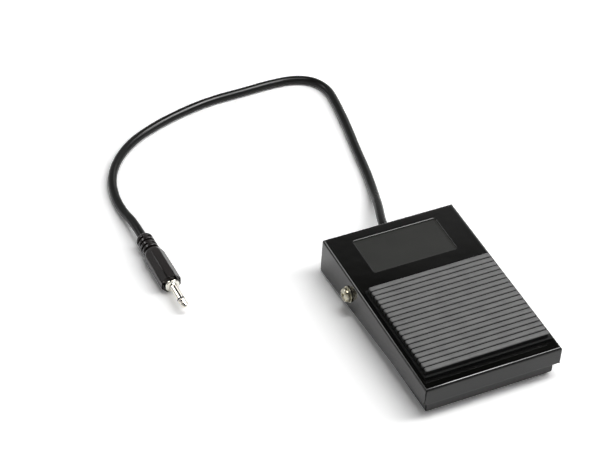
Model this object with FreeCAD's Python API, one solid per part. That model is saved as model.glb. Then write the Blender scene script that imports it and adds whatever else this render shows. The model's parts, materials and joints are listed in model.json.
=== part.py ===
import FreeCAD, Part
import math
import os

# Foot pedal switch. Millimetres, +Z up, +Y to the rear, where the cord leaves.
# The origin is on the floor under the middle of the pedal.
# The cover is drawn in its own frame, whose origin is the pivot axis, and then set at its rest tilt.

V = FreeCAD.Vector
X_AXIS = V(1, 0, 0)
Y_AXIS = V(0, 1, 0)
Z_AXIS = V(0, 0, 1)

# Cover: one folded steel sheet, open below
COVER_WIDTH = 62.0
COVER_LENGTH = 94.8
COVER_SHEET = 1.2
COVER_BEND_INSIDE = 0.1
FRONT_SKIRT = 8.5
REAR_SKIRT = 17.4
REAR_FLANGE = 5.0
SKIRT_FRONT_CORNER = 1.0
SKIRT_REAR_CORNER = 2.2
CORNER_SLIT = 0.35
SLIT_ROOF = 0.45

# Where the cover sits and how far it turns
PIVOT_FROM_REAR = 26.8
PIVOT_BELOW_TOP = 7.9
PIVOT_HEIGHT = 9.7
REST_TILT = 1.33
PRESS_ANGLE = 3.8

# Label recess and its blank plate
LABEL_WIDTH = 39.0
LABEL_LENGTH = 20.6
LABEL_FROM_PIVOT = 0.3
LABEL_RECESS = 0.8
LABEL_CORNER = 0.8
LABEL_PLATE = 0.25
LABEL_LIP = 0.12
LABEL_LIP_WIDTH = 0.7
LABEL_PRESS_WALL = 1.0

# Tread pad: a rubber sheet with flat-crowned ribs across it
RIB_COUNT = 19
RIB_PITCH = 2.73
RIB_GROOVE = 0.33
RIB_LENGTH = 56.0
PAD_HEIGHT = 3.8
PAD_SHEET = 1.4
GROOVE_FLOOR = 0.25
CROWN_FALL = 0.8
# A rib's crown from its middle outward: (share of half its width, share of the fall to its shoulder)
CROWN_BANDS = ((0.35, 0), (0.7, 0.18), (0.92, 0.5), (1, 1))
PAD_SIDE_MARGIN = 0.9
PAD_FRONT_MARGIN = 0.85
PAD_REAR_MARGIN = 0.5
PAD_FROM_COVER_FRONT = 5.4

# Base tray: one folded steel sheet, open above
BASE_SHEET = 1.2
BASE_BEND = 1.6
SIDE_GAP = 0.8
FRONT_INSET = 2.1
REAR_INSET = 2.4
TRAY_WALL = 8.8
EAR_RADIUS = 4.8
EAR_FOOT = 11.0
EAR_TOP_ROUND = 3.84
EAR_FOOT_ROUND = 2.4
LIP_TOP = 13.8
LIP_WIDTH = 5.0
LIP_HALF = 26.8
BEND_INSIDE = 0.4

# Pivot: screw, washer, stepped bush and nut on each side
SCREW_THREAD = 3.0
SCREW_HEAD = 6.2
SCREW_HEAD_HEIGHT = 2.3
WASHER_OUTER = 7.2
WASHER_THICK = 0.5
BUSH_OUTER = 5.0
BUSH_FLANGE = 7.4
BUSH_STEP = 0.65
BUSH_RUNNING = 0.05
BUSH_END_PLAY = 0.15
NUT_FLATS = 5.5
NUT_HEIGHT = 2.4
THREAD_TAIL = 0.6

# Pan heads: (height, radius) of each band, as shares of the head's own sizes
PAN_BANDS = ((0, 1), (0.45, 1), (0.8, 0.82), (1, 0.52))

# Half the play of a fixed piece in its hole, and how far a cutting shape runs past a face
FIT = 0.05
PAST = 1.0

# How many flats stand for a round: small fasteners and their holes, other hidden rounds, feet and washers
FEW_FLATS = 12
SOME_FLATS = 16
MANY_FLATS = 20

# Feet and buffers, rubber
FOOT_DIAMETER = 9.0
FOOT_PROUD = 0.6
FOOT_SEAT = 0.6
FOOT_CHAMFER = 0.25
FOOT_CLEARANCE = 0.2
FOOT_SIDE = 7.6
FOOT_END = 7.0
FRONT_BUFFER_DIAMETER = 6.5
FRONT_BUFFER_X = 9.5
FRONT_BUFFER_FROM_WALL = 7.0
BUFFER_STEM = 3.0
BUFFER_GAP = 0.15
BUFFER_CROWN = 1.1
BUFFER_BANDS = ((1, 1), (0.25, 0.75), (0, 0.4))
REST_BUFFER_DIAMETER = 4.6
REST_BUFFER_X = 23.8
REST_BUFFER_FROM_WALL = 2.9
REST_BUFFER_STEM = 2.4

# Return spring and what locates it
SPRING_FROM_PIVOT = 45.6
SPRING_MEAN_DIAMETER = 8.0
SPRING_WIRE = 0.9
SPRING_ACTIVE_TURNS = 4
SPRING_DEAD_GAP = 0.45
SPRING_TOP_GAP = 0.05
SPRING_STEPS = 16
POST_CLEARANCE = 0.35
POST_HEIGHT = 3.0
POST_STRAIGHT = 2.1
POST_END = 0.75
STUD_HEIGHT = 1.5
RIVET_SHANK = 2.6

# Switch on its board
BOARD_WIDTH = 20.0
BOARD_LENGTH = 28.0
BOARD_THICK = 1.6
BOARD_CORNER = 1.0
BOARD_FROM_PIVOT = 7.1
BOARD_HOLE_INSET = 3.0
SPACER_HEIGHT = 2.0
SPACER_FLATS = 4.6
SMALL_THREAD = 2.5
SMALL_HEAD = 4.5
SMALL_HEAD_HEIGHT = 1.6
CASE_LENGTH = 12.8
CASE_WIDTH = 5.8
CASE_HEIGHT = 6.5
CASE_BASE = 1.6
CASE_EDGE = 0.4
CASE_FROM_BOARD_REAR = 11.1
LEVER_PIN_IN = 1.0
LEVER_PIN_DOWN = 0.5
LEVER_PIN = 1.0
LEVER_PIN_OUT = 0.55
LEVER_SHEET = 0.3
LEVER_WIDTH = 4.2
LEVER_ARM = 12.3
LEVER_TIP = 1.6
LEVER_CHEEK = 1.3
LEVER_CHEEK_DROP = 1.04
LEVER_CHEEK_ROUND = 0.78
LEVER_CHEEK_GAP = 0.1
LEVER_CORNER = 0.5
LEVER_REST_ANGLE = 9.85
LEVER_OVER_CASE = 0.25
PLUNGER_DIAMETER = 2.0
PLUNGER_FROM_PIN = 4.2
PLUNGER_TRAVEL = 0.70
PLUNGER_GAP = 0.10
PLUNGER_DOME = 1.4
PLUNGER_DEPTH = 2.2
PLUNGER_CLEARANCE = 0.08
PLUNGER_SPARE = 0.2
STUD_PRESS_GAP = 0.20
PRESS_STUD_DIAMETER = 4.0
PRESS_STUD_DOME = 5.0
PIN_PITCH = 5.08
PIN_WIDTH = 0.9
PIN_THICK = 0.5
PIN_HOLE = 1.3
PIN_LENGTH = 2.6
SOLDER_DIAMETER = 2.0
SOLDER_HEIGHT = 0.8
SOLDER_TIP = 1.1

# Cord, its strain relief in the rear wall and the clamp inside
CORD_DIAMETER = 4.0
CORD_SIDES = 8
GLAND_X = 2.6
GLAND_HEIGHT = 8.5
GLAND_HOLE = 6.0
GLAND_FLANGE = 7.2
GLAND_FLANGE_THICK = 1.2
GLAND_SLEEVE = 8.0
GLAND_TIP = 5.0
GLAND_ROOT = 6.6
GLAND_RINGS = 3
GLAND_RING_DEPTH = 0.5
CLAMP_WIDTH = 16.0
CLAMP_DEPTH = 8.0
CLAMP_FROM_WALL = 6.0
CLAMP_BAR = 3.6
CLAMP_CORNER = 1.5
CLAMP_GAP = 0.3
CLAMP_SCREW_X = 5.2
INNER_CORD_PAST_CLAMP = 3.0
WIRE_DIAMETER = 1.1
WIRE_SIDES = 5
WIRE_SPACING = 1.7
WIRE_PAD_X = 2.6
WIRE_PAD_FROM_EDGE = 2.4
# The wires' course: share of the way forward, share of the way across, share of the drop, and a rise
WIRE_COURSE = ((0.24, 0, 0, 0), (0.5, 0.4, 0.5, 0.6), (0.76, 0.9, 1, 0.3))
# How much of the shorter run beside each corner of a tube its arc takes
TUBE_ROUNDING = 0.45

# Plug that lies at the cord's end, along -Y
PLUG_X = -94.1
PLUG_REAR = 91.9
RELIEF_LENGTH = 10.3
RELIEF_DIAMETER = 7.4
RELIEF_ROUND = 1.2
RELIEF_ROUND_BAND = 0.36
RELIEF_ROUND_DROP = 0.42
GROOVE_COUNT = 4
GROOVE_PITCH = 2.3
GROOVE_WIDTH = 1.0
GROOVE_DEPTH = 1.1
GROOVE_WEB = 2.6
BODY_LENGTH = 21.0
BODY_FLATS = 8.6
BODY_EDGE = 0.37
BODY_SHOULDER = 3.4
BODY_NOSE = 0.35
COLLAR_DIAMETER = 6.2
COLLAR_LENGTH = 1.8
JACK_DIAMETER = 3.5
SLEEVE_LENGTH = 8.8
SLEEVE_BORE = 2.1
RING_LENGTH = 0.8
# The tip: its straight band, then (distance from the ring, radius) down to the point
TIP_BAND = 0.7
TIP_BANDS = ((1.5, 1.15), (1.85, 1.15), (2.6, 1.7), (4.1, 0.8))
TIP_LENGTH = 4.4
TIP_POINT = 0.44
CORE_DIAMETER = 1.0

# Points of the cord's route on the floor, from the strain relief's tip to the plug
CORD_FLOOR = CORD_DIAMETER / 2
CORD_ROUTE = [
    (2.6, 54.2, 8.5),
    (2.6, 56.6, 8.5),
    (7.7, 70.0, 6.2),
    (11.8, 82.0, 2.9),
    (15.6, 96.0, CORD_FLOOR),
    (18.6, 113.0, CORD_FLOOR),
    (22.3, 130.5, CORD_FLOOR),
    (24.9, 146.5, CORD_FLOOR),
    (26.4, 159.0, CORD_FLOOR),
    (22.8, 168.0, CORD_FLOOR),
    (14.2, 172.7, CORD_FLOOR),
    (2.0, 173.5, CORD_FLOOR),
    (-12.0, 172.8, CORD_FLOOR),
    (-29.0, 172.5, CORD_FLOOR),
    (-46.0, 169.0, CORD_FLOOR),
    (-60.0, 164.4, CORD_FLOOR),
    (-72.5, 158.5, CORD_FLOOR),
    (-83.2, 149.5, CORD_FLOOR),
    (-91.0, 138.0, CORD_FLOOR),
    (-94.6, 124.5, CORD_FLOOR),
    (-94.8, 113.0, 2.3),
    (-94.1, 103.5, 4.3),
    (-94.1, 91.9, 4.3),
]

# Where the bands of a domed end meet, as shares of its radius
DOME_SHARES = (0.15, 0.45, 0.75, 1.0)

# Places worked out from the sizes
PIVOT_Y = COVER_LENGTH / 2 - PIVOT_FROM_REAR
COVER_HALF = COVER_WIDTH / 2
LID_FRONT = PIVOT_FROM_REAR - COVER_LENGTH
LID_REAR = PIVOT_FROM_REAR
LID_TOP = PIVOT_BELOW_TOP
LID_UNDER = LID_TOP - COVER_SHEET
COVER_BEND = COVER_SHEET + COVER_BEND_INSIDE
TRAY_HALF = COVER_HALF - COVER_SHEET - SIDE_GAP
TRAY_FRONT = FRONT_INSET - COVER_LENGTH / 2
TRAY_REAR = COVER_LENGTH / 2 - REAR_INSET
TRAY_BOTTOM = FOOT_PROUD
TRAY_FLOOR = TRAY_BOTTOM + BASE_SHEET
TRAY_WALL_TOP = TRAY_BOTTOM + TRAY_WALL
REAR_WALL_FACE = TRAY_REAR - BASE_SHEET
EAR_TOP = PIVOT_HEIGHT + EAR_RADIUS
BOARD_BOTTOM = TRAY_FLOOR + SPACER_HEIGHT
BOARD_TOP = BOARD_BOTTOM + BOARD_THICK
BOARD_REAR = PIVOT_Y - BOARD_FROM_PIVOT
BOARD_FRONT = BOARD_REAR - BOARD_LENGTH
CASE_TOP = BOARD_TOP + CASE_HEIGHT
CASE_REAR = BOARD_REAR - CASE_FROM_BOARD_REAR
LEVER_Y = CASE_REAR - LEVER_PIN_IN
LEVER_Z = CASE_TOP - LEVER_PIN_DOWN
LEVER_UNDER = LEVER_PIN_DOWN + LEVER_OVER_CASE
SPRING_Y = PIVOT_Y - SPRING_FROM_PIVOT
PAD_BODY = RIB_COUNT * RIB_PITCH
PAD_FRONT_RIB = LID_FRONT + PAD_FROM_COVER_FRONT + PAD_FRONT_MARGIN
GLAND_TIP_Y = TRAY_REAR + GLAND_FLANGE_THICK + GLAND_SLEEVE
TRIM = 0.01


def box(x0, x1, y0, y1, z0, z1):
    """A box between two corners."""
    return Part.makeBox(x1 - x0, y1 - y0, z1 - z0, V(x0, y0, z0))


def rod(diameter, start, end, flats=0):
    """A rod between two points, round or with flats, whose corners then lie on the diameter."""
    along = end.sub(start)
    if flats:
        return Part.Face(sided_section(diameter, flats, start, along)).extrude(along)
    return Part.makeCylinder(diameter / 2, along.Length, start, along)


def fuse(shapes):
    """One clean solid from several that meet."""
    return shapes[0].fuse(shapes[1:]).removeSplitter()


def outline(corners, to_point):
    """A closed face through corners (a, b, radius), each rounded by its radius."""
    edges = []
    count = len(corners)
    ends = []
    for i in range(count):
        a, b, radius = corners[i]
        here = V(a, b, 0)
        before = V(corners[i - 1][0], corners[i - 1][1], 0).sub(here)
        after = V(corners[(i + 1) % count][0], corners[(i + 1) % count][1], 0).sub(here)
        if radius <= 0:
            ends.append((here, None, here))
            continue
        before.normalize()
        after.normalize()
        half = math.acos(max(-1.0, min(1.0, before.dot(after)))) / 2
        reach = radius / math.tan(half)
        middle = before.add(after)
        middle.normalize()
        centre = here.add(middle.multiply(radius / math.sin(half)))
        inward = here.sub(centre)
        inward.normalize()
        ends.append((here.add(before.multiply(reach)), centre.add(inward.multiply(radius)),
                     here.add(after.multiply(reach))))
    for i in range(count):
        first, crown, last = ends[i]
        if crown is not None:
            edges.append(Part.Arc(to_point(first), to_point(crown), to_point(last)).toShape())
        following = ends[(i + 1) % count][0]
        if last.distanceToPoint(following) > 1e-6:
            edges.append(Part.LineSegment(to_point(last), to_point(following)).toShape())
    return Part.Face(Part.Wire(edges))


def side_prism(corners, x0, x1):
    """A solid whose outline is seen from the side, as (y, z, radius), from x0 to x1."""
    return outline(corners, lambda p: V(x0, p.x, p.y)).extrude(V(x1 - x0, 0, 0))


def plan_prism(corners, z0, z1):
    """A solid whose outline is seen from above, as (x, y, radius), from z0 to z1."""
    return outline(corners, lambda p: V(p.x, p.y, z0)).extrude(V(0, 0, z1 - z0))


def rounded_plate(half_x, y0, y1, z0, z1, radius):
    """A plate that is centred on x, with four rounded corners."""
    return plan_prism([(-half_x, y0, radius), (half_x, y0, radius),
                       (half_x, y1, radius), (-half_x, y1, radius)], z0, z1)


def flat_faces(rings, in_threes):
    """The faces between rings of points and over both ends, cut in triangles where they would not be flat."""
    faces = [Part.Face(Part.makePolygon(ring + [ring[0]])) for ring in (rings[0], rings[-1])]
    count = len(rings[0])
    for low, high in zip(rings, rings[1:]):
        for k in range(count):
            n = (k + 1) % count
            corners = [low[k], low[n], high[n], high[k]]
            parts = [corners[:3], corners[2:] + corners[:1]] if in_threes else [corners]
            faces += [Part.Face(Part.makePolygon(part + [part[0]])) for part in parts]
    return faces


def closed_solid(faces):
    """The solid inside a closed set of faces."""
    solid = Part.makeSolid(Part.makeShell(faces))
    if solid.Volume < 0:
        solid.reverse()
    return solid


def turned(profile, start, axis, flats):
    """A solid from (distance along, radius) pairs, drawn from start along axis, with flats for its rounds."""
    along = V(axis.x, axis.y, axis.z)
    along.normalize()
    rings = [sided_ring(radius * 2, flats, start.add(along * reach), axis) for reach, radius in profile]
    return closed_solid(flat_faces(rings, False)).removeSplitter()


def edges_at_height(shape, height, lowest_length):
    """The straight edges that lie level at a height."""
    found = []
    for edge in shape.Edges:
        levels = [vertex.Point.z for vertex in edge.Vertexes]
        if edge.Length > lowest_length and all(abs(level - height) < 1e-6 for level in levels):
            found.append(edge)
    return found


def folded_box(x_half, y0, y1, z0, z1, sheet, bend, open_top):
    """A box of folded sheet with bent edges round its closed face, open above or below."""
    outer = box(-x_half, x_half, y0, y1, z0, z1)
    past = sheet * 2
    if open_top:
        inner = box(sheet - x_half, x_half - sheet, y0 + sheet, y1 - sheet, z0 + sheet, z1 + past)
        closed_out, closed_in = z0, z0 + sheet
    else:
        inner = box(sheet - x_half, x_half - sheet, y0 + sheet, y1 - sheet, z0 - past, z1 - sheet)
        closed_out, closed_in = z1, z1 - sheet
    outer = outer.makeFillet(bend, edges_at_height(outer, closed_out, bend))
    inner = inner.makeFillet(bend - sheet, edges_at_height(inner, closed_in, bend))
    return outer.cut(inner)


def corner_slit(x, y, z0, z1, sheet):
    """The open seam where two flanges meet at a corner, cut on the diagonal."""
    reach = sheet * 4
    blade = box(-reach / 2, reach / 2, -CORNER_SLIT / 2, CORNER_SLIT / 2, z0, z1)
    blade.rotate(V(0, 0, 0), Z_AXIS, 45 if x * y > 0 else -45)
    blade.translate(V(x, y, 0))
    return blade


def tilted(shape, extra=0.0):
    """Set a solid of the cover's frame at the rest tilt, and place it on the pivot axis."""
    placed = shape.copy()
    placed.rotate(V(0, 0, 0), X_AXIS, REST_TILT + extra)
    placed.translate(V(0, PIVOT_Y, PIVOT_HEIGHT))
    return placed


def lid_height(y, level, tilt):
    """The height at y of the plane that lies at a level of the cover's frame."""
    angle = math.radians(tilt)
    return PIVOT_HEIGHT + (y - PIVOT_Y) * math.tan(angle) + level / math.cos(angle)


def lid_along(y, level):
    """The place along the cover that lies over y at rest."""
    angle = math.radians(REST_TILT)
    return (y - PIVOT_Y + level * math.sin(angle)) / math.cos(angle)


def pedal_cover():
    """The folded cover, with its label recess, pivot holes and rivet holes."""
    skirt_front = LID_TOP - FRONT_SKIRT
    skirt_rear = LID_TOP - REAR_SKIRT
    shell = folded_box(COVER_HALF, LID_FRONT, LID_REAR, skirt_rear, LID_TOP, COVER_SHEET, COVER_BEND, False)
    side_view = side_prism([
        (LID_FRONT, skirt_front, 0),
        (LID_REAR, skirt_rear, SKIRT_REAR_CORNER),
        (LID_REAR, LID_TOP, 0),
        (LID_FRONT, LID_TOP, 0)], -COVER_HALF, COVER_HALF)
    shell = shell.common(side_view)
    inside = COVER_HALF - COVER_SHEET
    past = COVER_SHEET * 2
    below = skirt_rear - past
    cuts = [box(-inside, inside, LID_REAR - past, LID_REAR + past, below, LID_TOP - REAR_FLANGE)]
    for side in (-1, 1):
        for end in (LID_FRONT, LID_REAR):
            cuts.append(corner_slit(side * COVER_HALF, end, below, LID_TOP - SLIT_ROOF, COVER_SHEET))
        centre_x = COVER_HALF - SKIRT_FRONT_CORNER
        centre_z = skirt_front + SKIRT_FRONT_CORNER
        corner = box(centre_x, COVER_HALF + past, LID_FRONT - past, LID_FRONT + COVER_SHEET,
                     skirt_front - past, centre_z)
        rounding = rod(SKIRT_FRONT_CORNER * 2, V(centre_x, LID_FRONT - past * 2, centre_z),
                       V(centre_x, LID_FRONT + past * 2, centre_z))
        corner = corner.cut(rounding)
        if side < 0:
            corner = corner.mirror(V(0, 0, 0), X_AXIS)
        cuts.append(corner)
    hole = BUSH_OUTER + BUSH_RUNNING * 2
    cuts.append(rod(hole, V(-COVER_HALF - past, 0, 0), V(COVER_HALF + past, 0, 0)))
    label_rear = LABEL_FROM_PIVOT + LABEL_LENGTH
    press = rounded_plate(LABEL_WIDTH / 2 + LABEL_PRESS_WALL, LABEL_FROM_PIVOT - LABEL_PRESS_WALL,
                          label_rear + LABEL_PRESS_WALL, LID_UNDER - LABEL_RECESS, LID_UNDER,
                          LABEL_CORNER + LABEL_PRESS_WALL)
    shell = fuse([shell, press])
    cuts.append(rounded_plate(LABEL_WIDTH / 2, LABEL_FROM_PIVOT, label_rear,
                              LID_TOP - LABEL_RECESS, LID_TOP + past, LABEL_CORNER))
    for along in (spring_along(), press_along()):
        cuts.append(rod(RIVET_SHANK + FIT * 2, V(0, along, LID_UNDER - past),
                        V(0, along, LID_TOP + past), SOME_FLATS))
    return shell.cut(cuts)


def spring_along():
    """Where the spring's axis meets the cover."""
    return lid_along(SPRING_Y, LID_UNDER)


def press_along():
    """Where the press stud sits along the cover, over the tip of the lever."""
    return lid_along(LEVER_Y - LEVER_ARM * math.cos(math.radians(LEVER_REST_ANGLE / 2)), LID_UNDER)


def label_plate():
    """The blank plate in the recess, with a thin raised lip round it."""
    floor = LID_TOP - LABEL_RECESS
    front = LABEL_FROM_PIVOT + FIT
    rear = LABEL_FROM_PIVOT + LABEL_LENGTH - FIT
    half = LABEL_WIDTH / 2 - FIT
    plate = rounded_plate(half, front, rear, floor, floor + LABEL_PLATE + LABEL_LIP, LABEL_CORNER)
    field = rounded_plate(half - LABEL_LIP_WIDTH, front + LABEL_LIP_WIDTH, rear - LABEL_LIP_WIDTH,
                          floor + LABEL_PLATE, floor + LABEL_PLATE + LABEL_LIP * 2, LABEL_CORNER / 2)
    return plate.cut(field)


def tread_pad():
    """The rubber pad: a thin sheet under a row of flat-crowned ribs."""
    rear = PAD_FRONT_RIB + PAD_BODY
    sheet = box(-RIB_LENGTH / 2 - PAD_SIDE_MARGIN, RIB_LENGTH / 2 + PAD_SIDE_MARGIN,
                PAD_FRONT_RIB - PAD_FRONT_MARGIN, rear + PAD_REAR_MARGIN, LID_TOP, LID_TOP + PAD_SHEET)
    groove = LID_TOP + PAD_SHEET + GROOVE_FLOOR
    crown = LID_TOP + PAD_HEIGHT
    half = (RIB_PITCH - RIB_GROOVE) / 2
    points = []
    for i in range(RIB_COUNT):
        centre = PAD_FRONT_RIB + (i + 0.5) * RIB_PITCH
        points.append((centre - half, groove if i else LID_TOP))
        points += [(centre - half * reach, crown - CROWN_FALL * fall) for reach, fall in CROWN_BANDS[::-1]]
        points += [(centre + half * reach, crown - CROWN_FALL * fall) for reach, fall in CROWN_BANDS]
        points.append((centre + half, groove if i < RIB_COUNT - 1 else LID_TOP))
    ribs = side_prism([(along, level, 0) for along, level in points], -RIB_LENGTH / 2, RIB_LENGTH / 2)
    return fuse([sheet, ribs])


def dome_profile(radius, sphere):
    """Points (depth, radius) from the small flat at the crown of a dome down to its rim."""
    reaches = [radius * share for share in DOME_SHARES]
    bands = [(sphere - math.sqrt(sphere * sphere - reach * reach), reach) for reach in reaches]
    return [(0, reaches[0])] + bands[1:]


def headed_stud(along, diameter, height, dome):
    """A stud under the cover, with a shank riveted in the sheet and a flat or domed end."""
    end = dome_profile(diameter / 2, dome) if dome else [(0, diameter / 2)]
    body = turned(end + [(height, diameter / 2)], V(0, along, LID_UNDER - height), Z_AXIS, SOME_FLATS)
    shank = rod(RIVET_SHANK, V(0, along, LID_UNDER - TRIM), V(0, along, LID_TOP - FIT), SOME_FLATS)
    return fuse([body, shank])


def press_stud_height():
    """The stud's height, so that its tip stays just over the lever through the stroke."""
    pressed = math.radians(REST_TILT + PRESS_ANGLE)
    lever_top = LEVER_Z + LEVER_UNDER + LEVER_SHEET
    wanted = lever_top + STUD_PRESS_GAP - PIVOT_HEIGHT - press_along() * math.sin(pressed)
    return LID_UNDER - wanted / math.cos(pressed)


def press_stud():
    """The domed stud that works the lever."""
    return headed_stud(press_along(), PRESS_STUD_DIAMETER, press_stud_height(), PRESS_STUD_DOME)


def spring_stud():
    """The flat stud inside the spring's upper end."""
    return headed_stud(spring_along(), locating_diameter(), STUD_HEIGHT, 0)


def lip_view():
    """The rear wall's lip seen from the side: its own wall below and the bent edge above."""
    under = LIP_TOP - BASE_SHEET
    return [(TRAY_REAR, TRAY_WALL_TOP, 0), (TRAY_REAR, LIP_TOP, BASE_BEND),
            (TRAY_REAR - LIP_WIDTH, LIP_TOP, 0), (TRAY_REAR - LIP_WIDTH, under, 0),
            (REAR_WALL_FACE, under, BEND_INSIDE), (REAR_WALL_FACE, TRAY_WALL_TOP, 0)]


def foot_places():
    """The four feet, inside the tray's corners."""
    x = TRAY_HALF - FOOT_SIDE
    return [(side * x, y) for side in (-1, 1) for y in (TRAY_FRONT + FOOT_END, TRAY_REAR - FOOT_END)]


def board_hole_places():
    """The four screws of the board."""
    x = BOARD_WIDTH / 2 - BOARD_HOLE_INSET
    return [(side * x, y) for side in (-1, 1)
            for y in (BOARD_FRONT + BOARD_HOLE_INSET, BOARD_REAR - BOARD_HOLE_INSET)]


def clamp_screw_places():
    """The two screws of the cord clamp."""
    y = REAR_WALL_FACE - CLAMP_FROM_WALL - CLAMP_DEPTH / 2
    return [(GLAND_X + side * CLAMP_SCREW_X, y) for side in (-1, 1)]


def front_buffer_places():
    """The two buffers that end the stroke."""
    return [(side * FRONT_BUFFER_X, TRAY_FRONT + BASE_SHEET + FRONT_BUFFER_FROM_WALL) for side in (-1, 1)]


def rest_buffer_places():
    """The two buffers that the cover rests on."""
    return [(side * REST_BUFFER_X, TRAY_REAR - REST_BUFFER_FROM_WALL) for side in (-1, 1)]


def base_tray():
    """The folded tray, with pivot ears, a lip at the rear and seats for the feet."""
    shell = folded_box(TRAY_HALF, TRAY_FRONT, TRAY_REAR, TRAY_BOTTOM, EAR_TOP, BASE_SHEET, BASE_BEND, True)
    past = BASE_SHEET * 2
    side_view = side_prism([
        (TRAY_FRONT, TRAY_BOTTOM, 0),
        (TRAY_REAR, TRAY_BOTTOM, 0),
        (TRAY_REAR, TRAY_WALL_TOP, 0),
        (PIVOT_Y + EAR_FOOT, TRAY_WALL_TOP, EAR_FOOT_ROUND),
        (PIVOT_Y + EAR_RADIUS, EAR_TOP, EAR_TOP_ROUND),
        (PIVOT_Y - EAR_RADIUS, EAR_TOP, EAR_TOP_ROUND),
        (PIVOT_Y - EAR_FOOT, TRAY_WALL_TOP, EAR_FOOT_ROUND),
        (TRAY_FRONT, TRAY_WALL_TOP, 0)], -TRAY_HALF, TRAY_HALF)
    shell = shell.common(side_view)
    extras = [side_prism(lip_view(), -LIP_HALF, LIP_HALF)]
    cuts = []
    for side in (-1, 1):
        for end in (TRAY_FRONT, TRAY_REAR):
            cuts.append(corner_slit(side * TRAY_HALF, end, TRAY_BOTTOM + SLIT_ROOF, EAR_TOP + past,
                                    BASE_SHEET))
    seat = FOOT_DIAMETER + FOOT_CLEARANCE * 2
    for x, y in foot_places():
        extras.append(rod(seat + BASE_SHEET * 2, V(x, y, TRAY_FLOOR - TRIM),
                          V(x, y, TRAY_FLOOR + FOOT_SEAT), SOME_FLATS))
        cuts.append(rod(seat, V(x, y, TRAY_BOTTOM - past), V(x, y, TRAY_BOTTOM + FOOT_SEAT), MANY_FLATS))
    cuts += screw_holes(board_hole_places() + clamp_screw_places(), TRAY_BOTTOM, TRAY_FLOOR)
    for x, y in front_buffer_places():
        cuts.append(rod(BUFFER_STEM + FIT * 2, V(x, y, TRAY_BOTTOM - past), V(x, y, TRAY_FLOOR + past),
                        FEW_FLATS))
    for x, y in rest_buffer_places():
        cuts.append(rod(REST_BUFFER_STEM + FIT * 2, V(x, y, LIP_TOP - past), V(x, y, LIP_TOP + past),
                        FEW_FLATS))
    cuts.append(rod(RIVET_SHANK + FIT * 2, V(0, SPRING_Y, TRAY_BOTTOM - past),
                    V(0, SPRING_Y, TRAY_FLOOR + past), SOME_FLATS))
    ear_out = V(TRAY_HALF + past, PIVOT_Y, PIVOT_HEIGHT)
    cuts.append(rod(SCREW_THREAD + FIT * 2, V(-ear_out.x, ear_out.y, ear_out.z), ear_out, SOME_FLATS))
    cuts.append(rod(GLAND_HOLE, V(GLAND_X, REAR_WALL_FACE - past, GLAND_HEIGHT),
                    V(GLAND_X, TRAY_REAR + past, GLAND_HEIGHT), SOME_FLATS))
    return fuse([shell] + extras).cut(cuts)


def pair(shape):
    """A piece on the right and its mirror image on the left."""
    return Part.makeCompound([shape, shape.mirror(V(0, 0, 0), X_AXIS)])


def pivot_x():
    """Where the ear's outer face, the washer and the screw head begin along the pivot."""
    washer = COVER_HALF + BUSH_END_PLAY
    return TRAY_HALF, washer, washer + WASHER_THICK


def at_pivot(x):
    """A point on the pivot axis."""
    return V(x, PIVOT_Y, PIVOT_HEIGHT)


def pivot_bore(x0, x1):
    """The screw's bore through a piece on the pivot axis."""
    return rod(SCREW_THREAD + FIT * 2, at_pivot(x0 - PAST), at_pivot(x1 + PAST), SOME_FLATS)


def pivot_bushes():
    """Stepped bushes that the cover turns on, between the ear and the washer."""
    ear, washer, head = pivot_x()
    step = ear + min(BUSH_STEP, SIDE_GAP - BUSH_END_PLAY)
    bush = fuse([rod(BUSH_FLANGE, at_pivot(ear), at_pivot(step), SOME_FLATS),
                 rod(BUSH_OUTER, at_pivot(ear), at_pivot(washer), SOME_FLATS)])
    return pair(bush.cut(pivot_bore(ear, washer)))


def pivot_washers():
    """Flat washers under the screw heads."""
    washer, head = pivot_x()[1:]
    ring = rod(WASHER_OUTER, at_pivot(washer), at_pivot(head), MANY_FLATS)
    return pair(ring.cut(pivot_bore(washer, head)))


def pan_screw(thread, head, height, length, flats):
    """A pan-head screw along -Z, with the underside of its head at the origin."""
    bands = [(height * rise, head / 2 * share) for rise, share in PAN_BANDS]
    cap = turned(bands, V(0, 0, 0), Z_AXIS, flats)
    return fuse([cap, rod(thread, V(0, 0, -length), V(0, 0, TRIM), flats)])


def pivot_screws():
    """The two screws that the pedal turns on."""
    ear = TRAY_HALF - BASE_SHEET
    head = pivot_x()[2]
    length = head - ear + NUT_HEIGHT + THREAD_TAIL
    screw = pan_screw(SCREW_THREAD, SCREW_HEAD, SCREW_HEAD_HEIGHT, length, SOME_FLATS)
    screw.rotate(V(0, 0, 0), Y_AXIS, 90)
    screw.translate(at_pivot(head))
    return pair(screw)


def pivot_nuts():
    """Hexagon nuts inside the ears."""
    ear = TRAY_HALF - BASE_SHEET
    nut = hexagon(NUT_FLATS, at_pivot(ear), V(-1, 0, 0), NUT_HEIGHT)
    return pair(nut.cut(rod(SCREW_THREAD + FIT, at_pivot(ear - NUT_HEIGHT - PAST), at_pivot(ear + PAST),
                            SOME_FLATS)))


def rubber_feet():
    """Four round feet that sit in the tray's seats."""
    feet = []
    for x, y in foot_places():
        profile = [(0, FOOT_DIAMETER / 2 - FOOT_CHAMFER), (FOOT_CHAMFER, FOOT_DIAMETER / 2),
                   (FOOT_PROUD + FOOT_SEAT, FOOT_DIAMETER / 2)]
        feet.append(turned(profile, V(x, y, 0), Z_AXIS, MANY_FLATS))
    return Part.makeCompound(feet)


def buffer(x, y, seat, top, diameter, stem, stem_end):
    """A rubber buffer with a crowned top and a stem pressed through the sheet."""
    half = diameter / 2
    height = top - seat
    crown = min(BUFFER_CROWN, height / 2)
    bands = [(height - crown * fall, half * share) for fall, share in BUFFER_BANDS]
    body = turned([(0, half)] + bands, V(x, y, seat), Z_AXIS, FEW_FLATS)
    return fuse([body, rod(stem, V(x, y, stem_end), V(x, y, seat + TRIM), FEW_FLATS)])


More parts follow.
